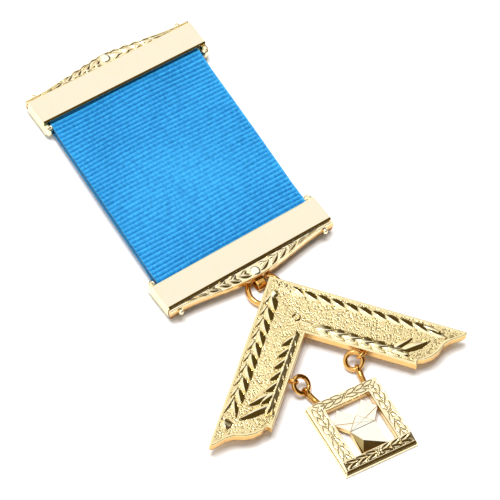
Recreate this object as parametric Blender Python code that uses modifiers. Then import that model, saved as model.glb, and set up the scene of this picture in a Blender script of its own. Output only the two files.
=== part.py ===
"""Gilt breast jewel: two ornamented bars joined by a ribbon, with a square and a pierced plate below.

The jewel lies face up on a surface at z = 0. X runs along the bars and +Y points to the top bar.
Each piece is modelled in its own frame and then set against the piece that carries it.
"""

import math

import bmesh
import bpy
from mathutils import Matrix, Vector

MM = 0.001

# Gaps and heights that the pieces share
GAP = 0.3 * MM
PIN_HEIGHT = 0.8 * MM
EYE_WALL = 0.42 * MM
EYE_SIDES = 12
SINK = 0.15 * MM

# Bars
BAR_LENGTH = 41.0 * MM
BAR_DEPTH = 6.6 * MM
FRONT_THICKNESS = 1.0 * MM
BACK_THICKNESS = 2.3 * MM
FRONT_EDGE_ROUND = 0.15 * MM
LOBE_REACH = 2.0 * MM
ROD_DIAMETER = 0.7 * MM
RIM_WIDTH = 0.5 * MM
RIM_RELIEF = 0.25 * MM
FAN_INSET = 0.1 * MM
ARCH_END = 0.85 * MM
ARCH_RISE = 2.15 * MM
ARCH_STEPS = 10
CURL_RADIUS = 0.7 * MM
CURL_INSET = 1.75 * MM
CURL_REACH = 1.35 * MM
BOSS_RADIUS = 1.2 * MM
BOSS_REACH = 1.55 * MM
BOSS_HEIGHT = 0.75 * MM

# Bar ornament: one side of the fan of leaves, repeated on the other side
# place along the half arch, share of the arch's reach at the root, lean from the jewel's length,
# length as a share of the arch's rise, width as a share of the same
BAR_LEAVES = (
    # along, root, lean, length, width
    (0.14, 0.30, 20.0, 0.75, 0.36),
    (0.25, 0.28, 35.0, 0.80, 0.34),
    (0.37, 0.24, 48.0, 0.80, 0.32),
    (0.50, 0.22, 58.0, 0.75, 0.27),
    (0.61, 0.26, 68.0, 0.75, 0.24),
)

# Ribbon
RIBBON_WIDTH = 37.5 * MM
RIBBON_PLY = 0.5 * MM
RIBBON_RUN = 52.2 * MM
RIBBON_SWAY = 2.8
RIBBON_BOW = 0.5 * MM
RIBBON_STEPS = 8
RIBBON_EYE_STEPS = 10
BOTTOM_BAR_TURN = 1.3

# Hanging ring
HANGING_WIRE = 0.9 * MM
HANGING_RADIUS = 3.6 * MM
RING_STEPS = 20
WIRE_SIDES = 8

# Strap under the bottom bar: a slotted loop, with the ring's wire at the end nearest the bar
STRAP_WIDTH = 2.2 * MM
STRAP_START = 5.2 * MM
STRAP_SLOT = 1.9 * MM

# Leaves: how far a leaf's root stands from its stem, as a share of the leaf's width
PAIR_STEP_SHARE = 0.45

# Square
ARM_LENGTH = 43.0 * MM
ARM_WIDTH = 10.9 * MM
SQUARE_THICKNESS = 2.0 * MM
SQUARE_TURN = -5.5
SQUARE_EYE_SIDE = -1.1 * MM
SQUARE_EYE_DROP = 4.85 * MM
SQUARE_EYE_WIDTH = 1.6 * MM
RELIEF = 0.4 * MM
BERRY_RADIUS = 0.65 * MM
BERRY_DROP = 11.65 * MM

# The arm's end from the outer tip to the inner edge, as shares of the arm's width
ARM_END = (
    # back from the tip, in from the outer edge
    (0.00, 0.00),
    (0.14, 0.13),
    (0.30, 0.26),
    (0.40, 0.39),
    (0.45, 0.57),
    (0.54, 0.72),
    (0.68, 0.85),
    (0.79, 0.88),
    (0.77, 1.00),
)

# Laurel along the outer edge: pairs of leaves on one stem
LAUREL_PAIRS = 12
LAUREL_START_SHARE = 0.11
LAUREL_END_SHARE = 0.87
LAUREL_LINE_SHARE = 0.205
LAUREL_LEAF_SHARE = 0.31
LAUREL_LEAF_WIDTH_SHARE = 0.105
LAUREL_LEAN = 22.0

# Sprig along the inner edge: long leaves towards the field, short ones towards the edge
SPRIG_PAIRS = 6
SPRIG_START_SHARE = 0.29
SPRIG_END_SHARE = 0.70
SPRIG_LINE_SHARE = 0.86
SPRIG_LEAF_SHARE = 0.28
SPRIG_LEAF_WIDTH_SHARE = 0.10
SPRIG_LEAN = 48.0
SPRIG_BUD_SHARE = 0.16
SPRIG_BUD_WIDTH_SHARE = 0.07
SPRIG_BUD_LEAN = -30.0

# Spray that ends the sprig and turns across the arm
SPRAY = (
    # along the arm, in from the edge, lean, length, width
    (0.715, 0.74, 45.0, 0.52, 0.14),
    (0.735, 0.86, 12.0, 0.30, 0.11),
    (0.705, 0.56, 72.0, 0.22, 0.09),
)

# Jump rings, and the plate's eyes: how far each is from its arm's inner edge, and how far
# its lug is past it along the arm
JUMP_WIRE = 0.78 * MM
JUMP_RADIUS = 1.85 * MM
JUMP_EYE_WIDTH = 0.7 * MM
LUG_STANDOFF = 0.9 * MM
LUG_STEM = 0.8 * MM
LEFT_REACH = 3.84 * MM
LEFT_LEAD = -0.52 * MM
RIGHT_REACH = 3.16 * MM
RIGHT_LEAD = -0.13 * MM

# Plate
PLATE_WIDTH = 16.2 * MM
PLATE_LENGTH = 16.8 * MM
PLATE_THICKNESS = 2.2 * MM
PLATE_TURN = -4.6
LIP = 0.3 * MM
LIP_HEIGHT = 0.6 * MM
SIDE_RAIL = 3.05 * MM
TOP_RAIL = 2.55 * MM
BOTTOM_RAIL = 2.3 * MM
EYELET_INSET = 2.0 * MM
EYELET_REACH = 3.5 * MM
EYELET_STEM = 1.2 * MM
FIGURE_DROP = 0.4 * MM
FIGURE_THICKNESS = 1.1 * MM
FIGURE_BASE = 5.7 * MM
FIGURE_STEP = 0.12 * MM
RAIL_LEAF = 1.75 * MM
RAIL_LEAF_WIDTH = 0.72 * MM
RAIL_LEAF_LEAN = 18.0
RAIL_RELIEF = 0.28 * MM
RAIL_LEAVES = 3
KNOT_RADIUS = 0.55 * MM
KNOT_RELIEF = 0.34 * MM

# Brooch pin
PIN_LENGTH = 26.0 * MM
PIN_WIRE = 0.6 * MM
PIN_BLOCK = 2.2 * MM
PIN_BLOCK_DEPTH = 1.5 * MM

# Sizes worked out from those above
HALF_BAR = BAR_LENGTH / 2
HALF_DEPTH = BAR_DEPTH / 2
BAR_UNDERSIDE = PIN_HEIGHT + GAP
FRONT_BOTTOM = BAR_UNDERSIDE + BACK_THICKNESS
BAR_TOP = FRONT_BOTTOM + FRONT_THICKNESS
ORNAMENT_TOP = FRONT_BOTTOM - RIM_RELIEF
RIBBON_EYE_INNER = ROD_DIAMETER / 2 + GAP
RIBBON_EYE_OUTER = RIBBON_EYE_INNER + RIBBON_PLY
ROD_HEIGHT = FRONT_BOTTOM - GAP - RIBBON_EYE_OUTER
RIBBON_DRIFT = (HALF_DEPTH + LOBE_REACH) * math.tan(math.radians(RIBBON_SWAY + BOTTOM_BAR_TURN))
CHEEK_INSIDE = RIBBON_WIDTH / 2 + GAP + RIBBON_DRIFT
STRIP_INSIDE = RIBBON_EYE_OUTER + GAP
LINK_HEIGHT = EYE_WALL + GAP + max(HANGING_WIRE, JUMP_WIRE) / 2
SQUARE_UNDERSIDE = LINK_HEIGHT + HANGING_WIRE / 2 + GAP
SQUARE_TOP = SQUARE_UNDERSIDE + SQUARE_THICKNESS
LUG_HEIGHT = SQUARE_UNDERSIDE + SQUARE_THICKNESS / 2
FIGURE_TOP = PLATE_THICKNESS - FIGURE_DROP

GILT_POLISHED = (0.93, 0.72, 0.33)
GILT_CAST = (0.86, 0.62, 0.24)
GILT_WIRE = (0.80, 0.52, 0.18)
RIBBON_BLUE = (0.03, 0.33, 0.86)


def collection(name, hidden=False):
    group = bpy.data.collections.new(name)
    bpy.context.scene.collection.children.link(group)
    group.hide_render = hidden
    return group


def clear_scene():
    for item in list(bpy.data.objects):
        bpy.data.objects.remove(item, do_unlink=True)


clear_scene()
JEWEL = collection("breast_jewel")
TOOLS = collection("joining_tools", hidden=True)


def material(name, colour, roughness, metallic):
    finish = bpy.data.materials.new(name)
    finish.use_nodes = True
    shader = finish.node_tree.nodes["Principled BSDF"]
    shader.inputs["Base Color"].default_value = (*colour, 1.0)
    shader.inputs["Roughness"].default_value = roughness
    shader.inputs["Metallic"].default_value = metallic
    return finish


def object_from_bmesh(name, bm, group=TOOLS):
    bmesh.ops.recalc_face_normals(bm, faces=bm.faces)
    mesh = bpy.data.meshes.new(name)
    bm.to_mesh(mesh)
    bm.free()
    item = bpy.data.objects.new(name, mesh)
    group.objects.link(item)
    item.hide_render = True
    item.display_type = "WIRE"
    return item


def box(name, low, high):
    bm = bmesh.new()
    size = Vector(high) - Vector(low)
    middle = (Vector(high) + Vector(low)) / 2
    bmesh.ops.create_cube(bm, size=1.0)
    bmesh.ops.scale(bm, vec=size, verts=bm.verts)
    bmesh.ops.translate(bm, vec=middle, verts=bm.verts)
    return object_from_bmesh(name, bm)


def rod(name, radius, length, sides, place):
    """A prism of the given number of sides along its own Z, moved by the matrix place."""
    bm = bmesh.new()
    bmesh.ops.create_cone(
        bm, cap_ends=True, segments=sides, radius1=radius, radius2=radius, depth=length
    )
    bmesh.ops.transform(bm, matrix=place, verts=bm.verts)
    return object_from_bmesh(name, bm)


def outline_solid(name, loops, bottom, top):
    """A flat outline, with holes where loops lie inside the first, between two heights."""
    curve = bpy.data.curves.new(name, "CURVE")
    curve.dimensions = "2D"
    curve.fill_mode = "BOTH"
    curve.extrude = (top - bottom) / 2
    for loop in loops:
        spline = curve.splines.new("POLY")
        spline.points.add(len(loop) - 1)
        for point, (x, y) in zip(spline.points, loop):
            point.co = (x, y, 0.0, 1.0)
        spline.use_cyclic_u = True
    drawn = bpy.data.objects.new(name, curve)
    TOOLS.objects.link(drawn)
    drawn.location = (0.0, 0.0, (top + bottom) / 2)
    bpy.context.view_layer.update()
    evaluated = drawn.evaluated_get(bpy.context.evaluated_depsgraph_get())
    mesh = bpy.data.meshes.new_from_object(evaluated)
    bm = bmesh.new()
    bm.from_mesh(mesh)
    bmesh.ops.remove_doubles(bm, verts=bm.verts, dist=1e-6)
    bmesh.ops.transform(bm, matrix=drawn.matrix_world, verts=bm.verts)
    bpy.data.objects.remove(drawn, do_unlink=True)
    bpy.data.curves.remove(curve)
    bpy.data.meshes.remove(mesh)
    return object_from_bmesh(name, bm)


def apply_modifiers(item):
    evaluated = item.evaluated_get(bpy.context.evaluated_depsgraph_get())
    mesh = bpy.data.meshes.new_from_object(evaluated)
    old = item.data
    item.modifiers.clear()
    item.data = mesh
    bpy.data.meshes.remove(old)


def combine(base, tool, operation="UNION"):
    """Join the tool to the base, or cut it away, and remove the tool."""
    step = base.modifiers.new("combine", "BOOLEAN")
    step.operation = operation
    step.solver = "EXACT"
    step.object = tool
    bpy.context.view_layer.update()
    apply_modifiers(base)
    bpy.data.objects.remove(tool, do_unlink=True)
    return base


def join_all(base, tools):
    for tool in tools:
        combine(base, tool)
    return base


def turn(degrees):
    return Matrix.Rotation(math.radians(degrees), 4, "Z")


def shift(x, y, z=0.0):
    return Matrix.Translation((x, y, z))


def unit(degrees):
    return Vector((math.cos(math.radians(degrees)), math.sin(math.radians(degrees))))


def leaves(name, rows, base_height, relief):
    """Raised leaves on one surface: each row holds root x, root y, heading, length and width."""
    bm = bmesh.new()
    for x, y, heading, length, width in rows:
        made = bmesh.ops.create_cone(
            bm, cap_ends=True, segments=6, radius1=0.5, radius2=0.14, depth=1.0
        )
        grow = Matrix.Diagonal((length, width / math.cos(math.radians(30)), relief + SINK, 1.0))
        lift = shift(length / 2, 0.0, (relief + SINK) / 2)
        place = shift(x, y, base_height - SINK) @ turn(heading)
        bmesh.ops.transform(bm, matrix=place @ lift @ grow, verts=made["verts"])
    return object_from_bmesh(name, bm)


def dome(name, x, y, base, radius, height):
    bm = bmesh.new()
    bmesh.ops.create_uvsphere(bm, u_segments=12, v_segments=8, radius=1.0)
    bmesh.ops.transform(
        bm, matrix=shift(x, y, base) @ Matrix.Diagonal((radius, radius, height, 1.0)), verts=bm.verts
    )
    return object_from_bmesh(name, bm)


def aim(spot, axis):
    """A frame at a spot whose Z lies along an axis."""
    return Matrix.Translation(spot) @ axis.to_track_quat("Z", "Y").to_matrix().to_4x4()


def eye_loop(name, spot, axis, wire, width):
    """A round eye with its hole along an axis, for a ring's wire."""
    place = aim(spot, axis)
    hole_radius = wire / 2 + GAP
    eye = rod(name, hole_radius + EYE_WALL, width, EYE_SIDES, place)
    hole = rod("hole", hole_radius, width * 2, EYE_SIDES, place)
    return combine(eye, hole, "DIFFERENCE")


def eye_on_stem(name, spot, axis, foot_way, foot_reach, stem_width):
    """An eye for a jump ring on a round stem: foot_way is the way to its foot, foot_reach how far."""
    eye = eye_loop(name, spot, axis, JUMP_WIRE, JUMP_EYE_WIDTH)
    way = (foot_way - axis * foot_way.dot(axis)).normalized()
    start = JUMP_WIRE / 2 + GAP + EYE_WALL / 2
    end = foot_reach / way.dot(foot_way)
    stem = rod("stem", stem_width / 2, end - start, 8, aim(spot + way * (start + end) / 2, way))
    return combine(eye, stem)


def arch_reach(x):
    """How far the ornament reaches beyond the front plate at a place along the bar."""
    span = HALF_BAR - 2 * CURL_RADIUS - FRONT_EDGE_ROUND
    share = min(abs(x) / span, 1.0)
    return ARCH_END + ARCH_RISE * (0.5 + 0.5 * math.cos(math.pi * share))


def arch_points(inset):
    points = []
    for step in range(-ARCH_STEPS, ARCH_STEPS + 1):
        x = HALF_BAR * step / ARCH_STEPS
        points.append((x, HALF_DEPTH + arch_reach(x) - inset))
    return points


def bar(name, with_strap):
    """A bar whose ornament is at +Y and whose ribbon leaves at -Y, round a rod on its own X axis."""
    front = box(
        name, (-HALF_BAR, -HALF_DEPTH, FRONT_BOTTOM), (HALF_BAR, HALF_DEPTH, BAR_TOP)
    )
    edge = front.modifiers.new("edge", "BEVEL")
    edge.width = FRONT_EDGE_ROUND
    edge.segments = 2
    edge.limit_method = "ANGLE"
    bpy.context.view_layer.update()
    apply_modifiers(front)

    buried = FRONT_BOTTOM + FRONT_THICKNESS / 3
    strip_outline = [(HALF_BAR, STRIP_INSIDE), (-HALF_BAR, STRIP_INSIDE)] + arch_points(0.0)
    strip = outline_solid("strip", [strip_outline], BAR_UNDERSIDE, ORNAMENT_TOP)
    backing = box(
        "backing",
        (-HALF_BAR + FRONT_EDGE_ROUND, STRIP_INSIDE, ORNAMENT_TOP - SINK),
        (HALF_BAR - FRONT_EDGE_ROUND, HALF_DEPTH - FRONT_EDGE_ROUND, buried),
    )
    band = outline_solid(
        "rim",
        [arch_points(-SINK / 3) + arch_points(RIM_WIDTH)[::-1]],
        ORNAMENT_TOP - SINK,
        ORNAMENT_TOP + RIM_RELIEF,
    )
    combine(strip, band)
    combine(strip, backing)
    for side in (-1, 1):
        cheek = outline_solid(
            "cheek", [cheek_outline(side)], BAR_UNDERSIDE, buried
        )
        lobe = outline_solid(
            "lobe", [lobe_outline(side)], BAR_UNDERSIDE, ORNAMENT_TOP + RIM_RELIEF
        )
        combine(cheek, lobe)
        combine(strip, cheek)
        curl_x = side * (HALF_BAR - CURL_INSET)
        curl = rod(
            "curl",
            CURL_RADIUS,
            FRONT_BOTTOM - BAR_UNDERSIDE - SINK,
            10,
            shift(curl_x, HALF_DEPTH + CURL_REACH, (FRONT_BOTTOM + BAR_UNDERSIDE) / 2),
        )
        combine(strip, curl)
    spindle = rod(
        "spindle",
        ROD_DIAMETER / 2,
        2 * CHEEK_INSIDE + 2 * SINK,
        8,
        shift(0.0, 0.0, ROD_HEIGHT) @ Matrix.Rotation(math.radians(90), 4, "Y"),
    )
    combine(strip, spindle)
    combine(strip, leaves("fan", fan_rows(), ORNAMENT_TOP, RIM_RELIEF))
    combine(strip, dome("boss", 0.0, HALF_DEPTH + BOSS_REACH, ORNAMENT_TOP, BOSS_RADIUS, BOSS_HEIGHT))
    if with_strap:
        clearance = HANGING_WIRE / 2 + GAP
        pocket = rod(
            "pocket",
            HANGING_RADIUS + clearance,
            2 * clearance,
            2 * RING_STEPS,
            shift(0.0, STRAP_START + HANGING_RADIUS, LINK_HEIGHT),
        )
        combine(strip, pocket, "DIFFERENCE")
        combine(strip, slotted_strap())
    return combine(front, strip)


def cheek_outline(side):
    inner = side * CHEEK_INSIDE
    outer = side * HALF_BAR
    low = -HALF_DEPTH + FRONT_EDGE_ROUND
    return [(inner, low), (outer, low), (outer, STRIP_INSIDE + SINK), (inner, STRIP_INSIDE + SINK)]


def lobe_outline(side):
    """The cheek's rounded end, which shows beside the ribbon."""
    radius = (HALF_BAR - CHEEK_INSIDE) / 2
    middle = side * (HALF_BAR - radius)
    foot = -HALF_DEPTH - LOBE_REACH + radius
    points = [(middle + radius, -HALF_DEPTH + 2 * SINK), (middle - radius, -HALF_DEPTH + 2 * SINK)]
    for step in range(7):
        heading = unit(180.0 + 180.0 * step / 6)
        points.append((middle + radius * heading.x, foot + radius * heading.y))
    return points


def slot_loop(radius):
    """The outline round the slot's two ends, along the bar's Y and up from the ring's height."""
    points = []
    for centre, start in ((STRAP_START, 90.0), (STRAP_START + STRAP_SLOT, -90.0)):
        for step in range(7):
            heading = unit(start + 30.0 * step)
            points.append((centre + radius * heading.x, radius * heading.y))
    return points


def slotted_strap():
    hole_radius = HANGING_WIRE / 2 + GAP
    loops = [slot_loop(hole_radius + EYE_WALL), slot_loop(hole_radius)]
    strap = outline_solid("strap", loops, -STRAP_WIDTH / 2, STRAP_WIDTH / 2)
    for point in strap.data.vertices:
        along, rise, across = point.co
        point.co = (across, along, LINK_HEIGHT + rise)
    return strap


def fan_rows():
    rows = []
    rise = ARCH_RISE + ARCH_END
    for along, root, lean, length, width in BAR_LEAVES:
        x = along * HALF_BAR
        y = HALF_DEPTH + (1.0 - root) * arch_reach(x) - FAN_INSET
        for side in (-1, 1):
            heading = -90.0 + side * lean
            rows.append((side * x, y, heading, length * rise, width * rise))
    return rows


def ribbon():
    """Two plies wound round a rod at each end, as one profile drawn along the jewel's length."""
    inner, outer = RIBBON_EYE_INNER, RIBBON_EYE_OUTER
    join = math.asin(RIBBON_PLY / outer)
    body = []
    for end in (0, 1):
        for step in range(RIBBON_EYE_STEPS + 1):
            angle = join + (2 * math.pi - 2 * join) * step / RIBBON_EYE_STEPS
            if end == 0:
                body.append((outer * math.cos(angle), outer * math.sin(angle)))
            else:
                body.append((RIBBON_RUN - outer * math.cos(angle), -outer * math.sin(angle)))
        side = -RIBBON_PLY if end == 0 else RIBBON_PLY
        for step in range(1, RIBBON_STEPS):
            share = step / RIBBON_STEPS
            along = share if end == 0 else 1.0 - share
            rise = 4 * RIBBON_BOW * along * (1.0 - along)
            body.append((along * RIBBON_RUN, side + rise))
    holes = []
    for centre in (0.0, RIBBON_RUN):
        circle = []
        for step in range(RIBBON_EYE_STEPS):
            angle = 2 * math.pi * (step + 0.5) / RIBBON_EYE_STEPS
            circle.append((centre + inner * math.cos(angle), inner * math.sin(angle)))
        holes.append(circle)
    strap = outline_solid("ribbon", [body] + holes, -RIBBON_WIDTH / 2, RIBBON_WIDTH / 2)
    top, bottom = top_bar_frame(), bottom_bar_frame()
    for point in strap.data.vertices:
        along, rise, across = point.co
        share = along / RIBBON_RUN
        start = top @ Vector((across, 0.0, 0.0))
        finish = bottom @ Vector((-across, 0.0, 0.0))
        place = start.lerp(finish, share)
        point.co = (place.x, place.y, ROD_HEIGHT + rise)
    return flip_if_inside_out(strap)


def flip_if_inside_out(item):
    bm = bmesh.new()
    bm.from_mesh(item.data)
    if bm.calc_volume(signed=True) < 0.0:
        bmesh.ops.reverse_faces(bm, faces=bm.faces)
    bm.to_mesh(item.data)
    bm.free()
    return item


def ring(name, radius, wire):
    """A closed ring of round wire, as a circle of short straight runs."""
    bm = bmesh.new()
    for step in range(RING_STEPS):
        around = 2 * math.pi * step / RING_STEPS
        for side in range(WIRE_SIDES):
            angle = 2 * math.pi * side / WIRE_SIDES
            reach = radius + wire / 2 * math.cos(angle)
            rise = wire / 2 * math.sin(angle)
            bm.verts.new((reach * math.cos(around), reach * math.sin(around), rise))
    bm.verts.ensure_lookup_table()
    for step in range(RING_STEPS):
        for side in range(WIRE_SIDES):
            after = (step + 1) % RING_STEPS
            beside = (side + 1) % WIRE_SIDES
            corners = ((step, side), (after, side), (after, beside), (step, beside))
            bm.faces.new([bm.verts[a * WIRE_SIDES + b] for a, b in corners])
    return object_from_bmesh(name, bm)


def arm_heading(side):
    """Direction of an arm in the square's own frame: side is -1 for the left arm, 1 for the right."""
    return -90.0 + 45.0 * side


def arm_point(side, along, inward):
    """A place on an arm: along it from the apex, and inward from its outer edge."""
    run = unit(arm_heading(side))
    across = unit(arm_heading(-side))
    return run * along + across * inward


def arm_leaf(side, along, inward, lean, length, width):
    """A leaf's row in the square's frame: lean turns it from the arm's run towards the outer edge."""
    root = arm_point(side, along, inward)
    heading = arm_heading(side) + side * lean
    return (root.x, root.y, heading, length, width)


def square():
    """The square, with its apex on the origin and both arms pointing down."""
    outline = []
    for side in (1, -1):
        rows = ARM_END if side == 1 else ARM_END[::-1]
        if side == 1:
            outline.append((0.0, 0.0))
        for back, inward in rows:
            spot = arm_point(side, ARM_LENGTH - back * ARM_WIDTH, inward * ARM_WIDTH)
            outline.append((spot.x, spot.y))
        if side == 1:
            outline.append((0.0, -ARM_WIDTH * math.sqrt(2)))
    body = outline_solid("square", [outline], SQUARE_UNDERSIDE, SQUARE_TOP)
    combine(body, leaves("laurel", laurel_rows(), SQUARE_TOP, RELIEF))
    combine(body, leaves("sprig", sprig_rows(), SQUARE_TOP, RELIEF))
    berry = rod("berry", BERRY_RADIUS, 2 * RELIEF, 10, shift(0.0, -BERRY_DROP, SQUARE_TOP))
    return combine(body, berry)


def places_along(start_share, end_share, count):
    """Evenly spaced places along an arm, with the last one short of the end."""
    return [ARM_LENGTH * (start_share + (end_share - start_share) * n / count) for n in range(count)]


def laurel_rows():
    length = LAUREL_LEAF_SHARE * ARM_WIDTH
    width = LAUREL_LEAF_WIDTH_SHARE * ARM_WIDTH
    line = LAUREL_LINE_SHARE * ARM_WIDTH
    step = PAIR_STEP_SHARE * width
    rows = []
    for side in (-1, 1):
        for along in places_along(LAUREL_START_SHARE, LAUREL_END_SHARE, LAUREL_PAIRS):
            for row in (-1, 1):
                rows.append(arm_leaf(side, along, line - row * step, row * LAUREL_LEAN, length, width))
    return rows


def sprig_rows():
    length = SPRIG_LEAF_SHARE * ARM_WIDTH
    width = SPRIG_LEAF_WIDTH_SHARE * ARM_WIDTH
    bud_length = SPRIG_BUD_SHARE * ARM_WIDTH
    bud_width = SPRIG_BUD_WIDTH_SHARE * ARM_WIDTH
    line = SPRIG_LINE_SHARE * ARM_WIDTH
    step = PAIR_STEP_SHARE * width
    rows = []
    for side in (-1, 1):
        for along in places_along(SPRIG_START_SHARE, SPRIG_END_SHARE, SPRIG_PAIRS):
            rows.append(arm_leaf(side, along, line - step, SPRIG_LEAN, length, width))
            rows.append(arm_leaf(side, along, line + step, SPRIG_BUD_LEAN, bud_length, bud_width))
        for along, inward, lean, reach, breadth in SPRAY:
            rows.append(arm_leaf(
                side, along * ARM_LENGTH, inward * ARM_WIDTH, lean, reach * ARM_WIDTH, breadth * ARM_WIDTH
            ))
    return rows


def inner_corner():
    return Vector((0.0, -ARM_WIDTH * math.sqrt(2)))


def plate_eyes():
    """The two eyelets' centres in the plate's frame, left and right."""
    x = PLATE_WIDTH / 2 - EYELET_INSET
    y = PLATE_LENGTH / 2 + EYELET_REACH
    return Vector((-x, y)), Vector((x, y))


def plate_in_square():
    """The plate's frame in the square's frame: both eyes are at their reach from the inner edges."""
    turned = Matrix.Rotation(math.radians(PLATE_TURN - SQUARE_TURN), 2)
    left_eye, right_eye = (turned @ eye for eye in plate_eyes())
    left_run, right_run = unit(arm_heading(-1)), unit(arm_heading(1))
    along_right = LEFT_REACH - left_eye.dot(right_run)
    along_left = RIGHT_REACH - right_eye.dot(left_run)
    place = inner_corner() + right_run * along_right + left_run * along_left
    return shift(place.x, place.y) @ turn(PLATE_TURN - SQUARE_TURN)


def jump_ring_places():
    """For each side, in the square's frame: ring centre, ring axis, lug centre and the plate's eye."""
    frame = plate_in_square()
    places = []
    for side, eye, lead in zip((-1, 1), plate_eyes(), (LEFT_LEAD, RIGHT_LEAD)):
        eye = frame @ Vector((eye.x, eye.y, LINK_HEIGHT))
        run, inward = unit(arm_heading(side)), unit(arm_heading(-side))
        along = (eye.to_2d() - inner_corner()).dot(run) + lead
        foot = inner_corner() + run * along + inward * LUG_STANDOFF
        lug = Vector((foot.x, foot.y, LUG_HEIGHT))
        chord = eye - lug
        across = Vector((side * chord.y, -side * chord.x, 0.0)).normalized()
        bulge = math.sqrt(JUMP_RADIUS ** 2 - (chord.length / 2) ** 2)
        centre = (eye + lug) / 2 + across * bulge
        axis = chord.cross(across).normalized()
        places.append((centre, axis, lug, eye))
    return places


def tangent(spot, centre, axis):
    """The way the ring's wire runs at a spot on it."""
    return axis.cross(spot - centre).normalized()


def add_lugs(body):
    """The eye on the square's back for the hanging ring and the two lugs for the jump rings."""
    centre = hanging_ring_in_square()
    eye = Vector((SQUARE_EYE_SIDE, -SQUARE_EYE_DROP, LINK_HEIGHT))
    run = tangent(eye, centre, Vector((0.0, 0.0, 1.0)))
    tools = [eye_loop("back_eye", eye, run, HANGING_WIRE, SQUARE_EYE_WIDTH)]
    for side, (centre, axis, lug, eye) in zip((-1, 1), jump_ring_places()):
        to_wall = -unit(arm_heading(-side)).to_3d()
        run = tangent(lug, centre, axis)
        tools.append(eye_on_stem("lug", lug, run, to_wall, LUG_STANDOFF + SINK, LUG_STEM))
    return join_all(body, tools)


def figure_loops():
    """The right triangle and its three squares in the plate's frame, as one outline with no hole."""
    half = FIGURE_BASE / 2
    floor = -PLATE_LENGTH / 2 + BOTTOM_RAIL - SINK
    base = floor + FIGURE_BASE
    apex = (0.0, base + half)
    return [
        [(-half, floor), (half, floor), (half, base), (-half, base)],
        [(-half, base), apex, (-half, base + 2 * half), (-2 * half, base + half)],
        [(half, base), (2 * half, base + half), (half, base + 2 * half), apex],
        [(-half, base), (half, base), apex],
    ]


def plate():
    """The pierced plate, with its centre on the origin."""
    half_width, half_length = PLATE_WIDTH / 2, PLATE_LENGTH / 2
    window = (
        (-half_width + SIDE_RAIL, -half_length + BOTTOM_RAIL),
        (half_width - SIDE_RAIL, half_length - TOP_RAIL),
    )
    body = box(
        "plate",
        (-half_width - LIP, -half_length - LIP, 0.0),
        (half_width + LIP, half_length + LIP, LIP_HEIGHT),
    )
    raised = box(
        "raised", (-half_width, -half_length, LIP_HEIGHT / 2), (half_width, half_length, PLATE_THICKNESS)
    )
    for point in raised.data.vertices:
        if point.co.z < LIP_HEIGHT:
            point.co.x += math.copysign(LIP / 2, point.co.x)
            point.co.y += math.copysign(LIP / 2, point.co.y)
    combine(body, raised)
    opening = box("window", (*window[0], -PLATE_THICKNESS), (*window[1], 2 * PLATE_THICKNESS))
    combine(body, opening, "DIFFERENCE")

    figure_bottom = FIGURE_TOP - FIGURE_THICKNESS
    limit = box(
        "limit",
        (window[0][0] - SINK, window[0][1] - SINK, figure_bottom - SINK),
        (window[1][0] + SINK, window[1][1] + SINK, FIGURE_TOP + SINK),
    )
    figure = None
    for index, loop in enumerate(figure_loops()):
        top = FIGURE_TOP + (FIGURE_STEP if index == 3 else 0.0)
        part = outline_solid("figure", [loop], figure_bottom, top)
        figure = part if figure is None else combine(figure, part)
    combine(figure, limit, "INTERSECT")
    combine(body, figure)
    combine(body, leaves("rail_leaves", rail_rows(), PLATE_THICKNESS, RAIL_RELIEF))
    for x, y in rail_knots():
        combine(body, dome("knot", x, y, PLATE_THICKNESS, KNOT_RADIUS, KNOT_RELIEF))
    return join_all(body, eyelets())


def rail_lines():
    """For each rail: its middle, its heading and its free half length."""
    side = PLATE_WIDTH / 2 - SIDE_RAIL / 2
    top = PLATE_LENGTH / 2 - TOP_RAIL / 2
    bottom = -PLATE_LENGTH / 2 + BOTTOM_RAIL / 2
    upright = PLATE_LENGTH / 2 - max(TOP_RAIL, BOTTOM_RAIL) / 2
    level = PLATE_WIDTH / 2 - SIDE_RAIL / 2
    middle = (top + bottom) / 2
    return (
        ((0.0, top), 0.0, level),
        ((0.0, bottom), 0.0, level),
        ((-side, middle), 90.0, upright),
        ((side, middle), 90.0, upright),
    )


def rail_knots():
    return [middle for middle, heading, reach in rail_lines()]


def rail_rows():
    rows = []
    for middle, heading, reach in rail_lines():
        pitch = (reach - KNOT_RADIUS) / (RAIL_LEAVES + 0.25)
        for way in (0.0, 180.0):
            run = unit(heading + way)
            across = unit(heading + way + 90.0)
            for number in range(RAIL_LEAVES):
                start = Vector(middle) + run * (KNOT_RADIUS + pitch * number)
                for row in (-1, 1):
                    root = start + across * row * PAIR_STEP_SHARE * RAIL_LEAF_WIDTH
                    lean = heading + way + row * RAIL_LEAF_LEAN
                    rows.append((root.x, root.y, lean, min(RAIL_LEAF, pitch), RAIL_LEAF_WIDTH))
    return rows


def eyelets():
    """Two stems on the plate's top edge, each ending in an eye for its jump ring."""
    frame = plate_in_square().inverted()
    tools = []
    for centre, axis, lug, eye in jump_ring_places():
        spot = frame @ eye
        run = tangent(spot, frame @ centre, frame.to_3x3() @ axis)
        to_plate = Vector((0.0, -1.0, 0.0))
        tools.append(eye_on_stem("eyelet", spot, run, to_plate, EYELET_REACH + SINK, EYELET_STEM))
    return tools


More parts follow.
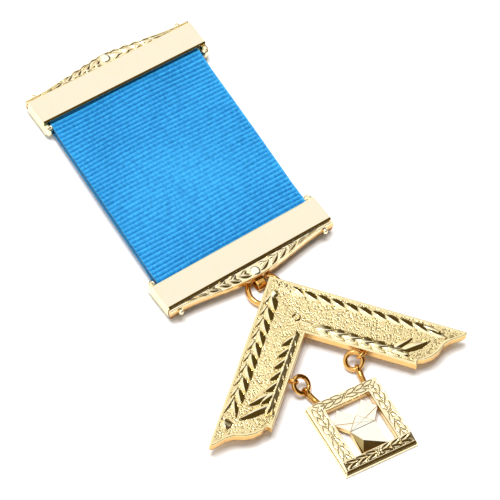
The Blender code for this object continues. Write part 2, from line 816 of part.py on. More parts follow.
def brooch_pin():
    """One plain piece under the top bar's strip: a wire between a hinge block and a catch block."""
    y = STRIP_INSIDE + (HALF_DEPTH - STRIP_INSIDE) / 2
    body = rod(
        "brooch_pin",
        PIN_WIRE / 2,
        PIN_LENGTH,
        8,
        shift(0.0, y, PIN_HEIGHT / 2) @ Matrix.Rotation(math.radians(90), 4, "Y"),
    )
    for side in (-1, 1):
        centre = side * PIN_LENGTH / 2
        block = box(
            "block",
            (centre - PIN_BLOCK / 2, y - PIN_BLOCK_DEPTH / 2, 0.0),
            (centre + PIN_BLOCK / 2, y + PIN_BLOCK_DEPTH / 2, PIN_HEIGHT),
        )
        combine(body, block)
    return body


def top_bar_frame():
    return Matrix.Identity(4)


def bottom_bar_frame():
    end = unit(-90.0 - RIBBON_SWAY) * RIBBON_RUN
    return shift(end.x, end.y) @ turn(180.0 + BOTTOM_BAR_TURN)


def hanging_ring_frame():
    return bottom_bar_frame() @ shift(0.0, STRAP_START + HANGING_RADIUS, LINK_HEIGHT)


def square_frame():
    """The square's eye sits on the side of the ring away from the bar."""
    ring_end = bottom_bar_frame() @ Vector((0.0, STRAP_START + 2 * HANGING_RADIUS, 0.0))
    eye = turn(SQUARE_TURN) @ Vector((SQUARE_EYE_SIDE, -SQUARE_EYE_DROP, 0.0))
    return shift(ring_end.x - eye.x, ring_end.y - eye.y) @ turn(SQUARE_TURN)


def hanging_ring_in_square():
    return square_frame().inverted() @ hanging_ring_frame().translation


def finish_piece(item, name, frame, finish, smooth_angle=None):
    """Name a piece, give it its material and set it in the jewel."""
    item.name = name
    item.data.name = name
    item.data.materials.clear()
    item.data.materials.append(finish)
    item.matrix_world = frame
    item.hide_render = False
    item.display_type = "TEXTURED"
    TOOLS.objects.unlink(item)
    JEWEL.objects.link(item)
    if smooth_angle is not None:
        item.data.shade_smooth()
        item.data.set_sharp_from_angle(angle=math.radians(smooth_angle))
    return item


def stand_on_origin(pieces):
    """Move the whole jewel so that its box stands on the origin by the middle of its underside."""
    bpy.context.view_layer.update()
    corners = [piece.matrix_world @ point.co for piece in pieces for point in piece.data.vertices]
    low = Vector((min(c.x for c in corners), min(c.y for c in corners), min(c.z for c in corners)))
    high = Vector((max(c.x for c in corners), max(c.y for c in corners), max(c.z for c in corners)))
    offset = Vector((-(low.x + high.x) / 2, -(low.y + high.y) / 2, -low.z))
    for piece in pieces:
        piece.matrix_world = Matrix.Translation(offset) @ piece.matrix_world


def build():
    polished = material("gilt_polished", GILT_POLISHED, 0.12, 1.0)
    cast = material("gilt_cast", GILT_CAST, 0.34, 1.0)
    wire = material("gilt_wire", GILT_WIRE, 0.25, 1.0)
    cloth = material("ribbon_blue", RIBBON_BLUE, 0.75, 0.0)
    left, right = jump_ring_places()
    pieces = [
        finish_piece(bar("bar", False), "top_bar", top_bar_frame(), polished),
        finish_piece(brooch_pin(), "brooch_pin", top_bar_frame(), wire),
        finish_piece(ribbon(), "ribbon", Matrix.Identity(4), cloth),
        finish_piece(bar("bar", True), "bottom_bar", bottom_bar_frame(), polished),
        finish_piece(
            ring("ring", HANGING_RADIUS, HANGING_WIRE),
            "hanging_ring",
            hanging_ring_frame(),
            wire,
            50.0,
        ),
        finish_piece(add_lugs(square()), "square", square_frame(), cast),
    ]
    for name, (centre, axis, lug, eye) in (("left_jump_ring", left), ("right_jump_ring", right)):
        place = square_frame() @ aim(centre, axis)
        pieces.append(finish_piece(ring("ring", JUMP_RADIUS, JUMP_WIRE), name, place, wire, 50.0))
    pieces.append(finish_piece(plate(), "plate", square_frame() @ plate_in_square(), cast))
    stand_on_origin(pieces)


build()
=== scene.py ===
import math

import bmesh
import bpy
import numpy as np
from mathutils import Matrix, Quaternion, Vector


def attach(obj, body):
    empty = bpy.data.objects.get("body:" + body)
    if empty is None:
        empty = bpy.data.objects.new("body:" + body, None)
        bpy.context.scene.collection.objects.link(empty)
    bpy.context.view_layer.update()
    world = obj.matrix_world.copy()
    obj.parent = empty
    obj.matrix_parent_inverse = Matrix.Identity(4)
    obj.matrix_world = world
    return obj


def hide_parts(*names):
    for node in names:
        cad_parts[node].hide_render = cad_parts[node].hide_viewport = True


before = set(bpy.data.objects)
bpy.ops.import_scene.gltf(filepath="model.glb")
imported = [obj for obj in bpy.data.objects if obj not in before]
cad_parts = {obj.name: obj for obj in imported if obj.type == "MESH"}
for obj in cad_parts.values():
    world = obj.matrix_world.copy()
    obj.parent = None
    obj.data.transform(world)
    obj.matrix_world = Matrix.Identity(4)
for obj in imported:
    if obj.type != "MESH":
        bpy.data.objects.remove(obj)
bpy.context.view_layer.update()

MM = 0.001
rng = np.random.default_rng(7)


# Places, in millimetres, as the construction model has them
def place(x, y, z=0.0, turn=0.0):
    return Matrix.Translation((x, y, z)) @ Matrix.Rotation(math.radians(turn), 4, "Z")


TOP_BAR = place(3.6231, 50.5243)
BOTTOM_BAR = place(1.0731, -1.6134, 0.0, -178.7)
SQUARE = place(2.9142, -9.288, 0.0, -5.5)
PLATE = place(-0.1933, -47.5286, 0.0, -4.6)
HANGING_RING = place(1.2728, -10.4111, 1.17)
LEFT_RING = Matrix.Translation((-5.4839, -33.5561, 2.045)) @ Quaternion(
    (0.93333, 0.25337, 0.06664, 0.24546)).to_matrix().to_4x4()
RIGHT_RING = Matrix.Translation((6.8752, -34.5265, 2.045)) @ Quaternion(
    (0.12939, 0.37893, 0.86717, 0.29611)).to_matrix().to_4x4()

# Sizes, in millimetres
BAR_LENGTH, BAR_DEPTH = 41.0, 6.6
BAR_UNDERSIDE, FRONT_BOTTOM, BAR_TOP = 1.1, 3.4, 4.4
ORNAMENT_TOP = 3.15
CHEEK_INSIDE = 19.43
ARCH_END, ARCH_RISE = 0.85, 2.15
ROD_HEIGHT, ROD_RADIUS = 1.95, 0.35
LINK_HEIGHT = 1.17
ARM_LENGTH, ARM_WIDTH = 43.0, 10.9
SQUARE_BOTTOM, SQUARE_TOP, FIELD_DEPTH = 1.92, 3.92, 0.06
PLATE_WIDTH, PLATE_LENGTH, PLATE_TOP = 16.2, 16.8, 2.2
SIDE_RAIL, TOP_RAIL, BOTTOM_RAIL = 3.05, 2.55, 2.3
FIGURE_TOP, FIGURE_BOTTOM, FIGURE_BASE = 1.8, 0.7, 5.7
RIBBON_WIDTH, RIBBON_RUN, RIBBON_BOW = 37.5, 52.2, 0.5
RIB_PITCH = 1.04


# Meshes
def mesh_piece(name, points, faces, frame_mm, materials, smooth=40.0, face_slots=None):
    """A mesh from points in millimetres in a local frame."""
    matrix = np.array(frame_mm)
    world = (np.asarray(points) @ matrix[:3, :3].T + matrix[:3, 3]) * MM
    mesh = bpy.data.meshes.new(name)
    mesh.from_pydata(world.tolist(), [], [list(f) for f in faces])
    mesh.validate()
    mesh.update()
    for material in materials:
        mesh.materials.append(material)
    if face_slots is not None:
        mesh.polygons.foreach_set("material_index", np.asarray(face_slots, dtype=np.int32))
    mesh.shade_smooth()
    mesh.set_sharp_from_angle(angle=math.radians(smooth))
    item = bpy.data.objects.new(name, mesh)
    bpy.context.scene.collection.objects.link(item)
    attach(item, "root")
    return item


def stands_for(item, node):
    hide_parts(node)


def boundary_loops(faces):
    """Directed boundary edges of a set of faces, chained into closed loops."""
    edges = set()
    for face in faces:
        for a, b in zip(face, np.roll(face, -1)):
            if (b, a) in edges:
                edges.remove((b, a))
            else:
                edges.add((int(a), int(b)))
    follow = dict(edges)
    loops = []
    while follow:
        start, here = next(iter(follow.items()))
        loop = [start]
        del follow[start]
        while here != start:
            loop.append(here)
            here = follow.pop(here)
        loops.append(loop)
    return loops


def outward(points, loop):
    """Unit plan normals that point out of a loop which runs with the solid on its left."""
    spots = points[loop][:, :2]
    run = np.roll(spots, -1, axis=0) - np.roll(spots, 1, axis=0)
    run /= np.maximum(np.linalg.norm(run, axis=1, keepdims=True), 1e-9)
    return np.stack([run[:, 1], -run[:, 0]], axis=1)


def skirt(stack, faces, slots, loop, rings):
    """Walls below a boundary loop through rings of (points, face slot). Gives the lowest ring's numbers."""
    above = loop
    for ring, slot in rings:
        start = sum(len(block) for block in stack)
        below = list(range(start, start + len(loop)))
        stack.append(ring)
        for k in range(len(loop)):
            n = (k + 1) % len(loop)
            faces.append([above[k], below[k], below[n], above[n]])
            slots.append(slot)
        above = below
    return above


def fill_floor(points, faces, slots, rims, slot):
    """Flat triangles inside the first rim, and round any others, that close the underside."""
    bm = bmesh.new()
    for rim in rims:
        verts = [bm.verts.new(points[i]) for i in rim]
        for a, b in zip(verts, verts[1:] + verts[:1]):
            bm.edges.new((a, b))
    order = [i for rim in rims for i in rim]
    made = bmesh.ops.triangle_fill(bm, use_beauty=True, use_dissolve=False, edges=bm.edges[:])
    bm.verts.index_update()
    for face in [g for g in made["geom"] if isinstance(g, bmesh.types.BMFace)]:
        corners = [order[v.index] for v in face.verts]
        faces.append(corners[::-1] if face.normal.z > 0 else corners)
        slots.append(slot)
    bm.free()


def close_below(points, faces, slots, walls, slot):
    """A solid from a top skin: walls of (outward, height) below each boundary loop, and a flat floor."""
    stack, rims = [points], []
    all_faces, slots = [list(map(int, f)) for f in faces], list(slots)
    for loop in boundary_loops(faces):
        plan, normals = points[loop][:, :2], outward(points, loop)
        rings = [(np.column_stack([plan + normals * shift, np.full(len(loop), height)]), slot)
                 for shift, height in walls]
        rims.append(skirt(stack, all_faces, slots, loop, rings))
    points = np.concatenate(stack)
    fill_floor(points, all_faces, slots, rims, slot)
    return points, all_faces, slots


def band_faces(rings, size, closed=False):
    """Quads between neighbouring rings of points. Closed joins the last ring to the first."""
    faces = []
    for r in range(rings if closed else rings - 1):
        a, b = r * size, (r + 1) % rings * size
        for k in range(size):
            n = (k + 1) % size
            faces.append([a + k, a + n, b + n, b + k])
    return faces


def stacked_faces(rings, size):
    """Faces of a solid whose rings of points lie one above the other, the top face last."""
    top = (rings - 1) * size
    return band_faces(rings, size) + [list(range(size))[::-1], list(range(top, top + size))]


def torus(name, frame_mm, radius, wire, materials, rise=None, steps=96, sides=28):
    """A ring of round or oval wire."""
    rise = wire if rise is None else rise
    around, angle = np.meshgrid(
        np.linspace(0, 2 * np.pi, steps, endpoint=False),
        np.linspace(0, 2 * np.pi, sides, endpoint=False), indexing="ij")
    reach = radius + wire * np.cos(angle)
    points = np.stack(
        [reach * np.cos(around), reach * np.sin(around), rise * np.sin(angle)], axis=-1).reshape(-1, 3)
    faces = [[a, d, c, b] for a, b, c, d in band_faces(steps, sides, True)]
    return mesh_piece(name, points, faces, frame_mm, materials, 80.0)


def turned(profile, sides):
    """Points and faces of a solid of revolution round Z from (radius, height) rows, bottom to top."""
    points = []
    for radius, height in profile:
        for k in range(sides):
            a = 2 * math.pi * k / sides
            points.append((radius * math.cos(a), radius * math.sin(a), height))
    return points, stacked_faces(len(profile), sides)


def grid_faces(rows, cols, keep=None):
    i, j = np.meshgrid(np.arange(rows - 1), np.arange(cols - 1), indexing="ij")
    quads = np.stack([i * cols + j, (i + 1) * cols + j, (i + 1) * cols + j + 1, i * cols + j + 1], axis=-1)
    return quads[keep] if keep is not None else quads.reshape(-1, 4)


def smoothstep(low, high, x):
    t = np.clip((x - low) / (high - low), 0.0, 1.0)
    return t * t * (3 - 2 * t)


def leaf_place(u, v, root, heading, length):
    """Share of a leaf's length at each place of a plan, free and clipped, and the distance to its left."""
    du, dv = heading
    along = ((u - root[0]) * du + (v - root[1]) * dv) / length
    return along, np.clip(along, 0.0, 1.0), -(u - root[0]) * dv + (v - root[1]) * du


def leaf(u, v, root, heading, length, half, height,
         rib=0.0, tip=0.65, blunt=0.8, low=0.3, fold=1.3, skew=0.0):
    """Height of a folded almond leaf over a plan: root and heading are in the same plan as u and v."""
    along, n, side = leaf_place(u, v, root, heading, length)
    width = half * np.sin(np.pi * n ** blunt) ** 0.85 + 1e-6
    crest = side - skew * width
    q = np.clip(np.abs(crest) / (width * np.where(crest > 0, 1.0 - skew, 1.0 + skew)), 0.0, 1.0)
    body = 1.0 - q ** fold
    rise = low + (1.0 - low) * smoothstep(0.0, tip, n)
    shape = height * body * rise
    if rib:
        groove = np.exp(-(side / (0.16 * half)) ** 2)
        shape = shape - rib * height * groove * smoothstep(0.0, 0.15, n) * body
    return np.where((along > 0.0) & (along < 1.0) & (q < 1.0), shape, 0.0)


def loop_leaf(u, v, root, heading, length, half, line):
    """A fine line, one high, that follows a leaf's outline."""
    along, n, side = leaf_place(u, v, root, heading, length)
    width = half * np.sin(np.pi * n ** 0.9) ** 0.8
    ring = np.exp(-((np.abs(side) - width) / line) ** 2)
    return np.where((along > 0.0) & (along < 1.0), ring, 0.0)


def direction(degrees):
    return (math.cos(math.radians(degrees)), math.sin(math.radians(degrees)))


# Materials
def principled(name, colour, metallic, roughness):
    material = bpy.data.materials.new(name)
    material.use_nodes = True
    shader = material.node_tree.nodes["Principled BSDF"]
    shader.inputs["Base Color"].default_value = (*colour, 1.0)
    shader.inputs["Metallic"].default_value = metallic
    shader.inputs["Roughness"].default_value = roughness
    return material, material.node_tree, shader


def noise(tree, scale, detail=2.0, rough=0.5, stretch=None):
    coordinates = tree.nodes.new("ShaderNodeTexCoord")
    texture = tree.nodes.new("ShaderNodeTexNoise")
    texture.inputs["Scale"].default_value = scale
    texture.inputs["Detail"].default_value = detail
    texture.inputs["Roughness"].default_value = rough
    source = coordinates.outputs["Object"]
    if stretch:
        mapping = tree.nodes.new("ShaderNodeMapping")
        mapping.inputs["Scale"].default_value = stretch
        tree.links.new(source, mapping.inputs["Vector"])
        source = mapping.outputs["Vector"]
    tree.links.new(source, texture.inputs["Vector"])
    return texture


def bump(tree, shader, source, strength, distance):
    node = tree.nodes.new("ShaderNodeBump")
    node.inputs["Strength"].default_value = strength
    node.inputs["Distance"].default_value = distance
    tree.links.new(source, node.inputs["Height"])
    tree.links.new(node.outputs["Normal"], shader.inputs["Normal"])


def tint(tree, shader, source, colours, low, high):
    """Colour that drifts between two tones with a texture."""
    ramp = tree.nodes.new("ShaderNodeValToRGB")
    ramp.color_ramp.elements[0].position = low
    ramp.color_ramp.elements[1].position = high
    ramp.color_ramp.elements[0].color = (*colours[0], 1.0)
    ramp.color_ramp.elements[1].color = (*colours[1], 1.0)
    tree.links.new(source, ramp.inputs["Fac"])
    tree.links.new(ramp.outputs["Color"], shader.inputs["Base Color"])


def roughness_drift(tree, shader, source, low, high):
    mapped = tree.nodes.new("ShaderNodeMapRange")
    mapped.inputs["To Min"].default_value = low
    mapped.inputs["To Max"].default_value = high
    tree.links.new(source, mapped.inputs["Value"])
    tree.links.new(mapped.outputs["Result"], shader.inputs["Roughness"])


def gold(name, light, deep, roughness, grain_scale, grain_strength, grain_micron):
    """A gilt metal whose tone drifts between two golds, under a fine grain."""
    material, tree, shader = principled("gold_" + name, light, 1.0, roughness)
    drift = noise(tree, 420.0, 3.0)
    tint(tree, shader, drift.outputs["Fac"], (deep, light), 0.30, 0.62)
    roughness_drift(tree, shader, drift.outputs["Fac"], roughness * 0.8, roughness * 1.25)
    grain = noise(tree, grain_scale, 3.0, 0.6)
    bump(tree, shader, grain.outputs["Fac"], grain_strength, grain_micron * 1e-6)
    return material


# Light tone, deep tone, roughness, and the grain's scale, strength and depth in microns
polished = gold("polished", (0.92, 0.84, 0.65), (0.92, 0.83, 0.61), 0.07, 2500.0, 0.04, 20)
# Painted highlight: a near-white copy of the gold for the figure's tops and the bosses, for the white glare
# they show
painted_highlight = gold("painted_highlight", (1.0, 0.97, 0.84), (1.0, 0.95, 0.78), 0.10, 2500.0, 0.04, 20)
polished_cast = gold("polished_cast", (1.0, 0.89, 0.60), (1.0, 0.85, 0.52), 0.12, 2600.0, 0.12, 30)
cast = gold("cast", (0.95, 0.83, 0.50), (0.93, 0.79, 0.42), 0.13, 3200.0, 0.25, 40)
# The leaf tops' own polish, with a painted highlight: this copy of the cast gold is lighter so the leaves read
# white
raised = gold("raised", (1.0, 0.92, 0.62), (0.98, 0.87, 0.52), 0.10, 2500.0, 0.08, 20)
# Painted shade and reflection: a darker orange copy of the gold for walls and the rod, for gold mirrored in
# gold and the shaded floor
side = gold("side", (0.84, 0.53, 0.19), (0.76, 0.45, 0.15), 0.20, 2600.0, 0.2, 40)
bar_side = gold("bar_side", (0.97, 0.84, 0.52), (0.95, 0.79, 0.44), 0.12, 2500.0, 0.05, 20)
# Painted reflection: a light orange copy of the gold for the window wall, the plate's underside and the
# figure's walls, for the bright floor and gold they mirror
wall_painted_reflection = gold("wall_painted_reflection", (1.0, 0.73, 0.33), (0.97, 0.65, 0.26), 0.20, 2600.0, 0.1, 30)
wire = gold("wire", (0.84, 0.49, 0.15), (0.78, 0.43, 0.12), 0.09, 1800.0, 0.05, 30)
# Painted shade: a dark brown copy of the wire gold for the eyelets and the strap
wire_painted_shade = gold("wire_painted_shade", (0.62, 0.34, 0.09), (0.50, 0.26, 0.06), 0.12, 1800.0, 0.05, 30)
# Painted shade: a dim copy of the gold for the square's pits, the plate's cut lines and the figure's left
# facets
painted_shade_dim = gold("painted_shade_dim", (0.50, 0.38, 0.16), (0.40, 0.29, 0.10), 0.20, 2500.0, 0.1, 20)
# Painted shade: a dark brown copy of the gold for the plate's edge cut, the top of its window wall and the
# figure's right facet
painted_shade_dark = gold("painted_shade_dark", (0.30, 0.19, 0.05), (0.22, 0.13, 0.03), 0.16, 2500.0, 0.1, 20)


def stippled():
    material, tree, shader = principled("gold_stippled", (0.90, 0.74, 0.40), 1.0, 0.20)
    grain = noise(tree, 4200.0, 3.0, 0.7)
    tint(tree, shader, grain.outputs["Fac"], ((0.76, 0.57, 0.25), (0.90, 0.76, 0.42)), 0.36, 0.56)
    bump(tree, shader, grain.outputs["Fac"], 0.25, 0.00004)
    return material


field = stippled()


def ribbon_cloth(name, tones):
    """Woven silk: fine threads over a slow drift of tone."""
    material, tree, shader = principled(name, tones[1], 0.0, 0.62)
    shader.inputs["Sheen Weight"].default_value = 0.1
    shader.inputs["Sheen Roughness"].default_value = 0.4
    threads = noise(tree, 900.0, 2.0, 0.5, (3.4, 1.3, 1.0))
    drift = noise(tree, 60.0, 2.0)
    part = tree.nodes.new("ShaderNodeMath")
    part.operation = "MULTIPLY"
    part.inputs[1].default_value = 0.25
    tree.links.new(drift.outputs["Fac"], part.inputs[0])
    mixed = tree.nodes.new("ShaderNodeMath")
    mixed.operation = "MULTIPLY_ADD"
    mixed.inputs[1].default_value = 0.75
    tree.links.new(threads.outputs["Fac"], mixed.inputs[0])
    tree.links.new(part.outputs["Value"], mixed.inputs[2])
    tint(tree, shader, mixed.outputs["Value"], tones, 0.34, 0.62)
    bump(tree, shader, threads.outputs["Fac"], 0.5, 0.00006)
    return material


cloth = ribbon_cloth("ribbon_blue", ((0.008, 0.19, 0.46), (0.026, 0.33, 0.67)))
# Painted shade: a darker copy of the blue for the ribbon's edges and the back ply's skin beside them
cloth_painted_shade = ribbon_cloth("ribbon_painted_shade", ((0.004, 0.10, 0.22), (0.008, 0.15, 0.32)))


# Square: a relief over both arms, drawn in millimetres along and in from the outer edge
# Shares of the arm's width: how far in, and how far the end stands back there
ARM_END = ((0.0, 0.0), (0.13, 0.14), (0.26, 0.30), (0.39, 0.40), (0.57, 0.45), (0.72, 0.54), (0.85, 0.68),
           (0.88, 0.79), (1.0, 0.77))
TIP_ROUND = 1.1
BERRY = 11.65 / math.sqrt(2.0)
LEAF_PITCH, SPRIG_PITCH = 2.93, 2.88
LONG_LEAF = {"tip": 0.5, "low": 0.45, "fold": 1.2, "skew": -0.3}
BROAD_LEAF = {"tip": 0.4, "low": 0.55, "fold": 1.15, "skew": 0.3}
SPRIG_LEAF = {"tip": 0.5, "blunt": 0.9, "fold": 1.15}
SPRAY_LEAF = {"tip": 0.55, "blunt": 0.95, "low": 0.4, "fold": 1.15}
# Leaves by arm: how many, pitch, first place along and in, lean, length, half width, height, form
ARM_LEAVES = {
    -1: (
        (9, LEAF_PITCH, 4.1, 1.55, -14.0, 3.0, 0.42, 0.27, {"low": 0.5, "skew": 0.2}),
        (9, LEAF_PITCH, 4.5, 1.9, 24.0, 3.85, 1.0, 0.46, LONG_LEAF),
        (1, 0.0, 29.4, 1.6, -11.0, 5.2, 0.46, 0.32, {"low": 0.6}),
        (1, 0.0, 30.6, 1.75, 20.0, 4.6, 0.76, 0.46, {**LONG_LEAF, "skew": -0.25}),
        (1, 0.0, 35.5, 1.5, 19.0, 2.6, 1.15, 0.46,
         {"tip": 0.3, "blunt": 0.9, "low": 0.7, "fold": 1.1, "skew": -0.45}),
        (6, SPRIG_PITCH, 12.0, 9.55, -34.0, 4.3, 0.92, 0.46, {**SPRIG_LEAF, "low": 0.9, "skew": -0.3}),
        (6, SPRIG_PITCH, 12.9, 9.25, 22.0, 1.9, 0.22, 0.34, {"tip": 0.6, "low": 0.5}),
        (1, 0.0, 26.3, 9.0, -40.0, 6.5, 0.95, 0.48, {**SPRAY_LEAF, "skew": -0.15}),
        (1, 0.0, 28.9, 9.7, -43.0, 8.4, 1.05, 0.48, {**SPRAY_LEAF, "skew": -0.15}),
        (1, 0.0, 28.0, 9.3, -4.0, 4.8, 0.70, 0.48, {**SPRAY_LEAF, "skew": -0.15}),
        (1, 0.0, 30.2, 9.7, 14.0, 2.6, 0.42, 0.48, {**SPRAY_LEAF, "skew": -0.15}),
    ),
    1: (
        (1, 0.0, 4.7, 1.3, 22.0, 4.2, 1.0, 0.46, {**BROAD_LEAF, "rib": 0.8, "skew": 0.1}),
        (9, LEAF_PITCH, 7.73, 1.45, 20.0, 4.4, 0.95, 0.46, BROAD_LEAF),
        (1, 0.0, 33.4, 1.5, 5.0, 3.6, 0.5, 0.36, {"low": 0.5}),
        (1, 0.0, 34.0, 2.1, 9.0, 4.8, 0.95, 0.46, BROAD_LEAF),
        (6, SPRIG_PITCH, 12.0, 9.15, -9.0, 5.0, 1.0, 0.46, {**SPRIG_LEAF, "low": 0.5, "skew": 0.35}),
        (6, SPRIG_PITCH, 13.0, 9.75, 6.0, 3.3, 0.58, 0.38, {"tip": 0.5, "low": 0.5, "skew": 0.3}),
        (1, 0.0, 28.4, 9.3, -49.0, 5.6, 0.85, 0.48, {**SPRAY_LEAF, "skew": 0.15}),
        (1, 0.0, 30.0, 9.1, -39.0, 7.4, 1.10, 0.48, {**SPRAY_LEAF, "skew": 0.15}),
        (1, 0.0, 27.6, 9.1, 2.0, 5.0, 0.75, 0.48, {**SPRAY_LEAF, "skew": 0.15}),
        (1, 0.0, 30.4, 9.5, 14.0, 2.4, 0.42, 0.48, {**SPRAY_LEAF, "skew": 0.15}),
    ),
}
# Stem of the inner row by arm: place in, width beyond it, height
STEMS = {-1: (9.05, 0.95, 0.44), 1: (9.25, 0.22, 0.30)}
# Rings by arm: place along and in, radius, height, line, squash
ARM_RINGS = {
    -1: ((BERRY - 0.25, BERRY - 0.35, 0.72, 0.28, 0.16, 1.0),),
    1: ((BERRY - 0.25, BERRY - 0.35, 0.72, 0.28, 0.16, 1.0),
        (1.4, 1.05, 0.34, 0.26, 0.14, 1.2), (2.15, 1.35, 0.30, 0.26, 0.14, 1.2),
        (2.9, 1.0, 0.32, 0.26, 0.14, 1.2), (3.7, 1.2, 0.28, 0.26, 0.14, 1.2)),
}
# Stalks by arm: start and end along, place in, height, line
ARM_STALKS = {
    -1: (),
    1: ((BERRY + 0.8, BERRY + 3.4, BERRY + 0.35, 0.32, 0.18), (2.6, 5.1, 2.15, 0.34, 0.17)),
}


def arm_reach(inward):
    """Length of the arm at a distance in from the outer edge."""
    shares, backs = zip(*ARM_END)
    offsets = (-0.02, -0.01, 0.0, 0.01, 0.02)
    total = np.zeros_like(inward)
    for offset in offsets:
        total = total + np.interp(inward / ARM_WIDTH + offset, shares, backs)
    missing = np.clip(TIP_ROUND - inward, 0.0, None)
    tip = TIP_ROUND - np.sqrt(np.clip(TIP_ROUND ** 2 - missing ** 2, 0.0, None))
    return ARM_LENGTH - ARM_WIDTH * total / len(offsets) - 0.9 * tip


def edge_drop(distance, radius):
    """How far a rounded edge lies below the face at a distance from it."""
    d = np.clip(distance, 0.0, radius)
    return radius - np.sqrt(np.maximum(radius ** 2 - (radius - d) ** 2, 0.0))


def arm_relief(s, t, way):
    """Height of the cast relief above the sunk field of the left arm (way -1) or the right one (1)."""
    height = np.zeros_like(s)
    for count, pitch, along, inward, lean, length, half, rise, form in ARM_LEAVES[way]:
        for number in range(count):
            root = (along + pitch * number, inward)
            height = np.maximum(height, leaf(s, t, root, direction(lean), length, half, rise, **form))
    crest, wide, rise = STEMS[way]
    ends = smoothstep(11.0, 12.2, s) * (1.0 - smoothstep(30.0, 31.5, s))
    stem = np.clip(1.0 - np.abs(t - crest) / np.where(t > crest, wide, 0.35), 0.0, 1.0)
    height = np.maximum(height, ends * rise * stem)
    for along, inward, radius, rise, line, squash in ARM_RINGS[way]:
        away = np.hypot(s - along, (t - inward) * squash)
        height = np.maximum(height, rise * np.exp(-((away - radius) / line) ** 2))
    for start, end, inward, rise, line in ARM_STALKS[way]:
        stalk = rise * np.exp(-((t - inward) / line) ** 2)
        height = np.maximum(height, np.where((s > start) & (s < end), stalk, 0.0))
    if way < 0:
        knob = np.hypot(s - 3.9, (t - 2.1) * 1.15) / 0.95
        height = np.maximum(height, 0.44 * np.sqrt(np.clip(1.0 - knob ** 2, 0.0, 1.0)))
    return height


def stipple(shape):
    """Small uneven pits, two or three grid steps across."""
    depth = np.zeros(shape)
    for step, share, deep in ((3, 0.06, 0.06), (2, 0.15, 0.07)):
        blocks = rng.random((shape[0] // step + 2, shape[1] // step + 2)) < share
        blocks = np.repeat(np.repeat(blocks.astype(float), step, axis=0), step, axis=1)
        depth = np.maximum(depth, deep * blocks[:shape[0], :shape[1]])
    return depth + 0.008 * rng.random(shape)


def square_piece():
    """Both arms as one skin, with walls and a floor."""
    fine, first, nominal = np.array([0.0, 0.03, 0.08, 0.15]), 0.26, 38.0
    inward = np.concatenate([fine, np.linspace(first, ARM_WIDTH - first, 108), ARM_WIDTH - fine[::-1]])
    share = np.concatenate([np.linspace(0.0, 1.0 - first / nominal, 390), 1.0 - fine[::-1] / nominal])
    t = np.broadcast_to(inward, (len(share), len(inward)))
    reach = arm_reach(t)
    s = t + (reach - t) * share[:, None]
    plans, skins = [], []
    for way in (-1, 1):
        height = arm_relief(s, t, way)
        edge = np.minimum(np.minimum(t, ARM_WIDTH - t), (reach - s) * 0.85)
        edge = np.where((share[:, None] < 0.02) & (t > ARM_WIDTH - 0.5), ARM_WIDTH - t, edge)
        hollow = smoothstep(0.45, 0.75, edge) * (height < 0.04) * stipple(height.shape)
        height = height - hollow
        level = SQUARE_TOP - FIELD_DEPTH * smoothstep(0.30, 0.90, edge) + height
        z = np.minimum(level, BAR_TOP - 0.02) - edge_drop(edge, 0.18)
        run = np.array(direction(-90.0 + 45.0 * way))
        across = np.array(direction(-90.0 - 45.0 * way))
        plan = s[..., None] * run + t[..., None] * across
        # The left arm runs from its end to the mitre, where the right arm's first row takes over
        order = slice(None, 0, -1) if way < 0 else slice(None)
        plans.append(plan[order])
        skins.append([grid[order] for grid in (z, height, edge, hollow)])
    z, height, edge, hollow = (np.concatenate(pair) for pair in zip(*skins))
    points = np.column_stack([np.concatenate(plans).reshape(-1, 2), z.reshape(-1)])
    faces = grid_faces(*z.shape)[:, ::-1]
    height, edge, hollow = (grid.reshape(-1)[faces].mean(axis=1) for grid in (height, edge, hollow))
    # The leaves take the lighter copy, their polish with a painted highlight; the walls take the painted shade
    # and reflection; the pits take the dim painted shade
    rim, sunk, under, leaves, pits = range(5)
    slots = np.where(height > 0.09, leaves, np.where(edge > 0.5, sunk, rim))
    slots = np.where(hollow > 0.045, pits, slots).tolist()
    walls = [(0.0, SQUARE_TOP - 0.5), (0.0, SQUARE_BOTTOM + 0.4), (0.0, SQUARE_BOTTOM + 0.1),
             (-0.1, SQUARE_BOTTOM)]
    points, faces, slots = close_below(points, faces, slots, walls, under)
    item = mesh_piece("square_relief", points, faces, SQUARE, [cast, field, side, raised, painted_shade_dim], 50.0, slots)
    stands_for(item, "square")


square_piece()


# Rings, lugs and eyelets
def eye_piece(name, spot, axis, material, node, stem=None, size=(0.57, 1.13, 0.38)):
    """A round eye. Its stem is (direction in degrees, reach, radius), and size its radii and half width."""
    inner, outer, width = size
    axis = Vector(axis).normalized()
    seat = Matrix.Translation(Vector(spot))
    item = torus(name, seat @ axis.to_track_quat("Z", "Y").to_matrix().to_4x4(), (inner + outer) / 2,
                 (outer - inner) / 2, [material], width, 48, 20)
    stands_for(item, node)
    if stem is None:
        return
    degrees, reach, radius = stem
    foot = Vector((*direction(degrees), 0.0))
    way = (foot - axis * foot.dot(axis)).normalized()
    start = inner + 0.25
    run = reach / way.dot(foot) - start
    profile = [(radius * wide, start + run * share) for wide, share in
               ((1.1, 0.0), (1.0, 0.4), (1.05, 0.8), (1.3, 1.0))]
    points, faces = turned(profile, 24)
    item = mesh_piece(name + "_stem", points, faces, seat @ way.to_track_quat("Z", "Y").to_matrix().to_4x4(),
                      [material], 50.0)
    stands_for(item, node)


for label, seat, radius, thickness in (("hanging_ring", HANGING_RING, 3.6, 0.60),
                                       ("left_jump_ring", LEFT_RING, 1.78, 0.50),
                                       ("right_jump_ring", RIGHT_RING, 1.78, 0.50)):
    stands_for(torus(label + "_wire", seat, radius, thickness, [wire]), label)
eye_piece("left_lug", (-6.788, -32.578, 2.92), (-0.6642, -0.7259, -0.1789), wire, "square", (129.5, 1.0, 0.4))
eye_piece("right_lug", (8.503, -34.618, 2.92), (0.1573, -0.9082, -0.3878), wire, "square", (39.5, 1.0, 0.4))
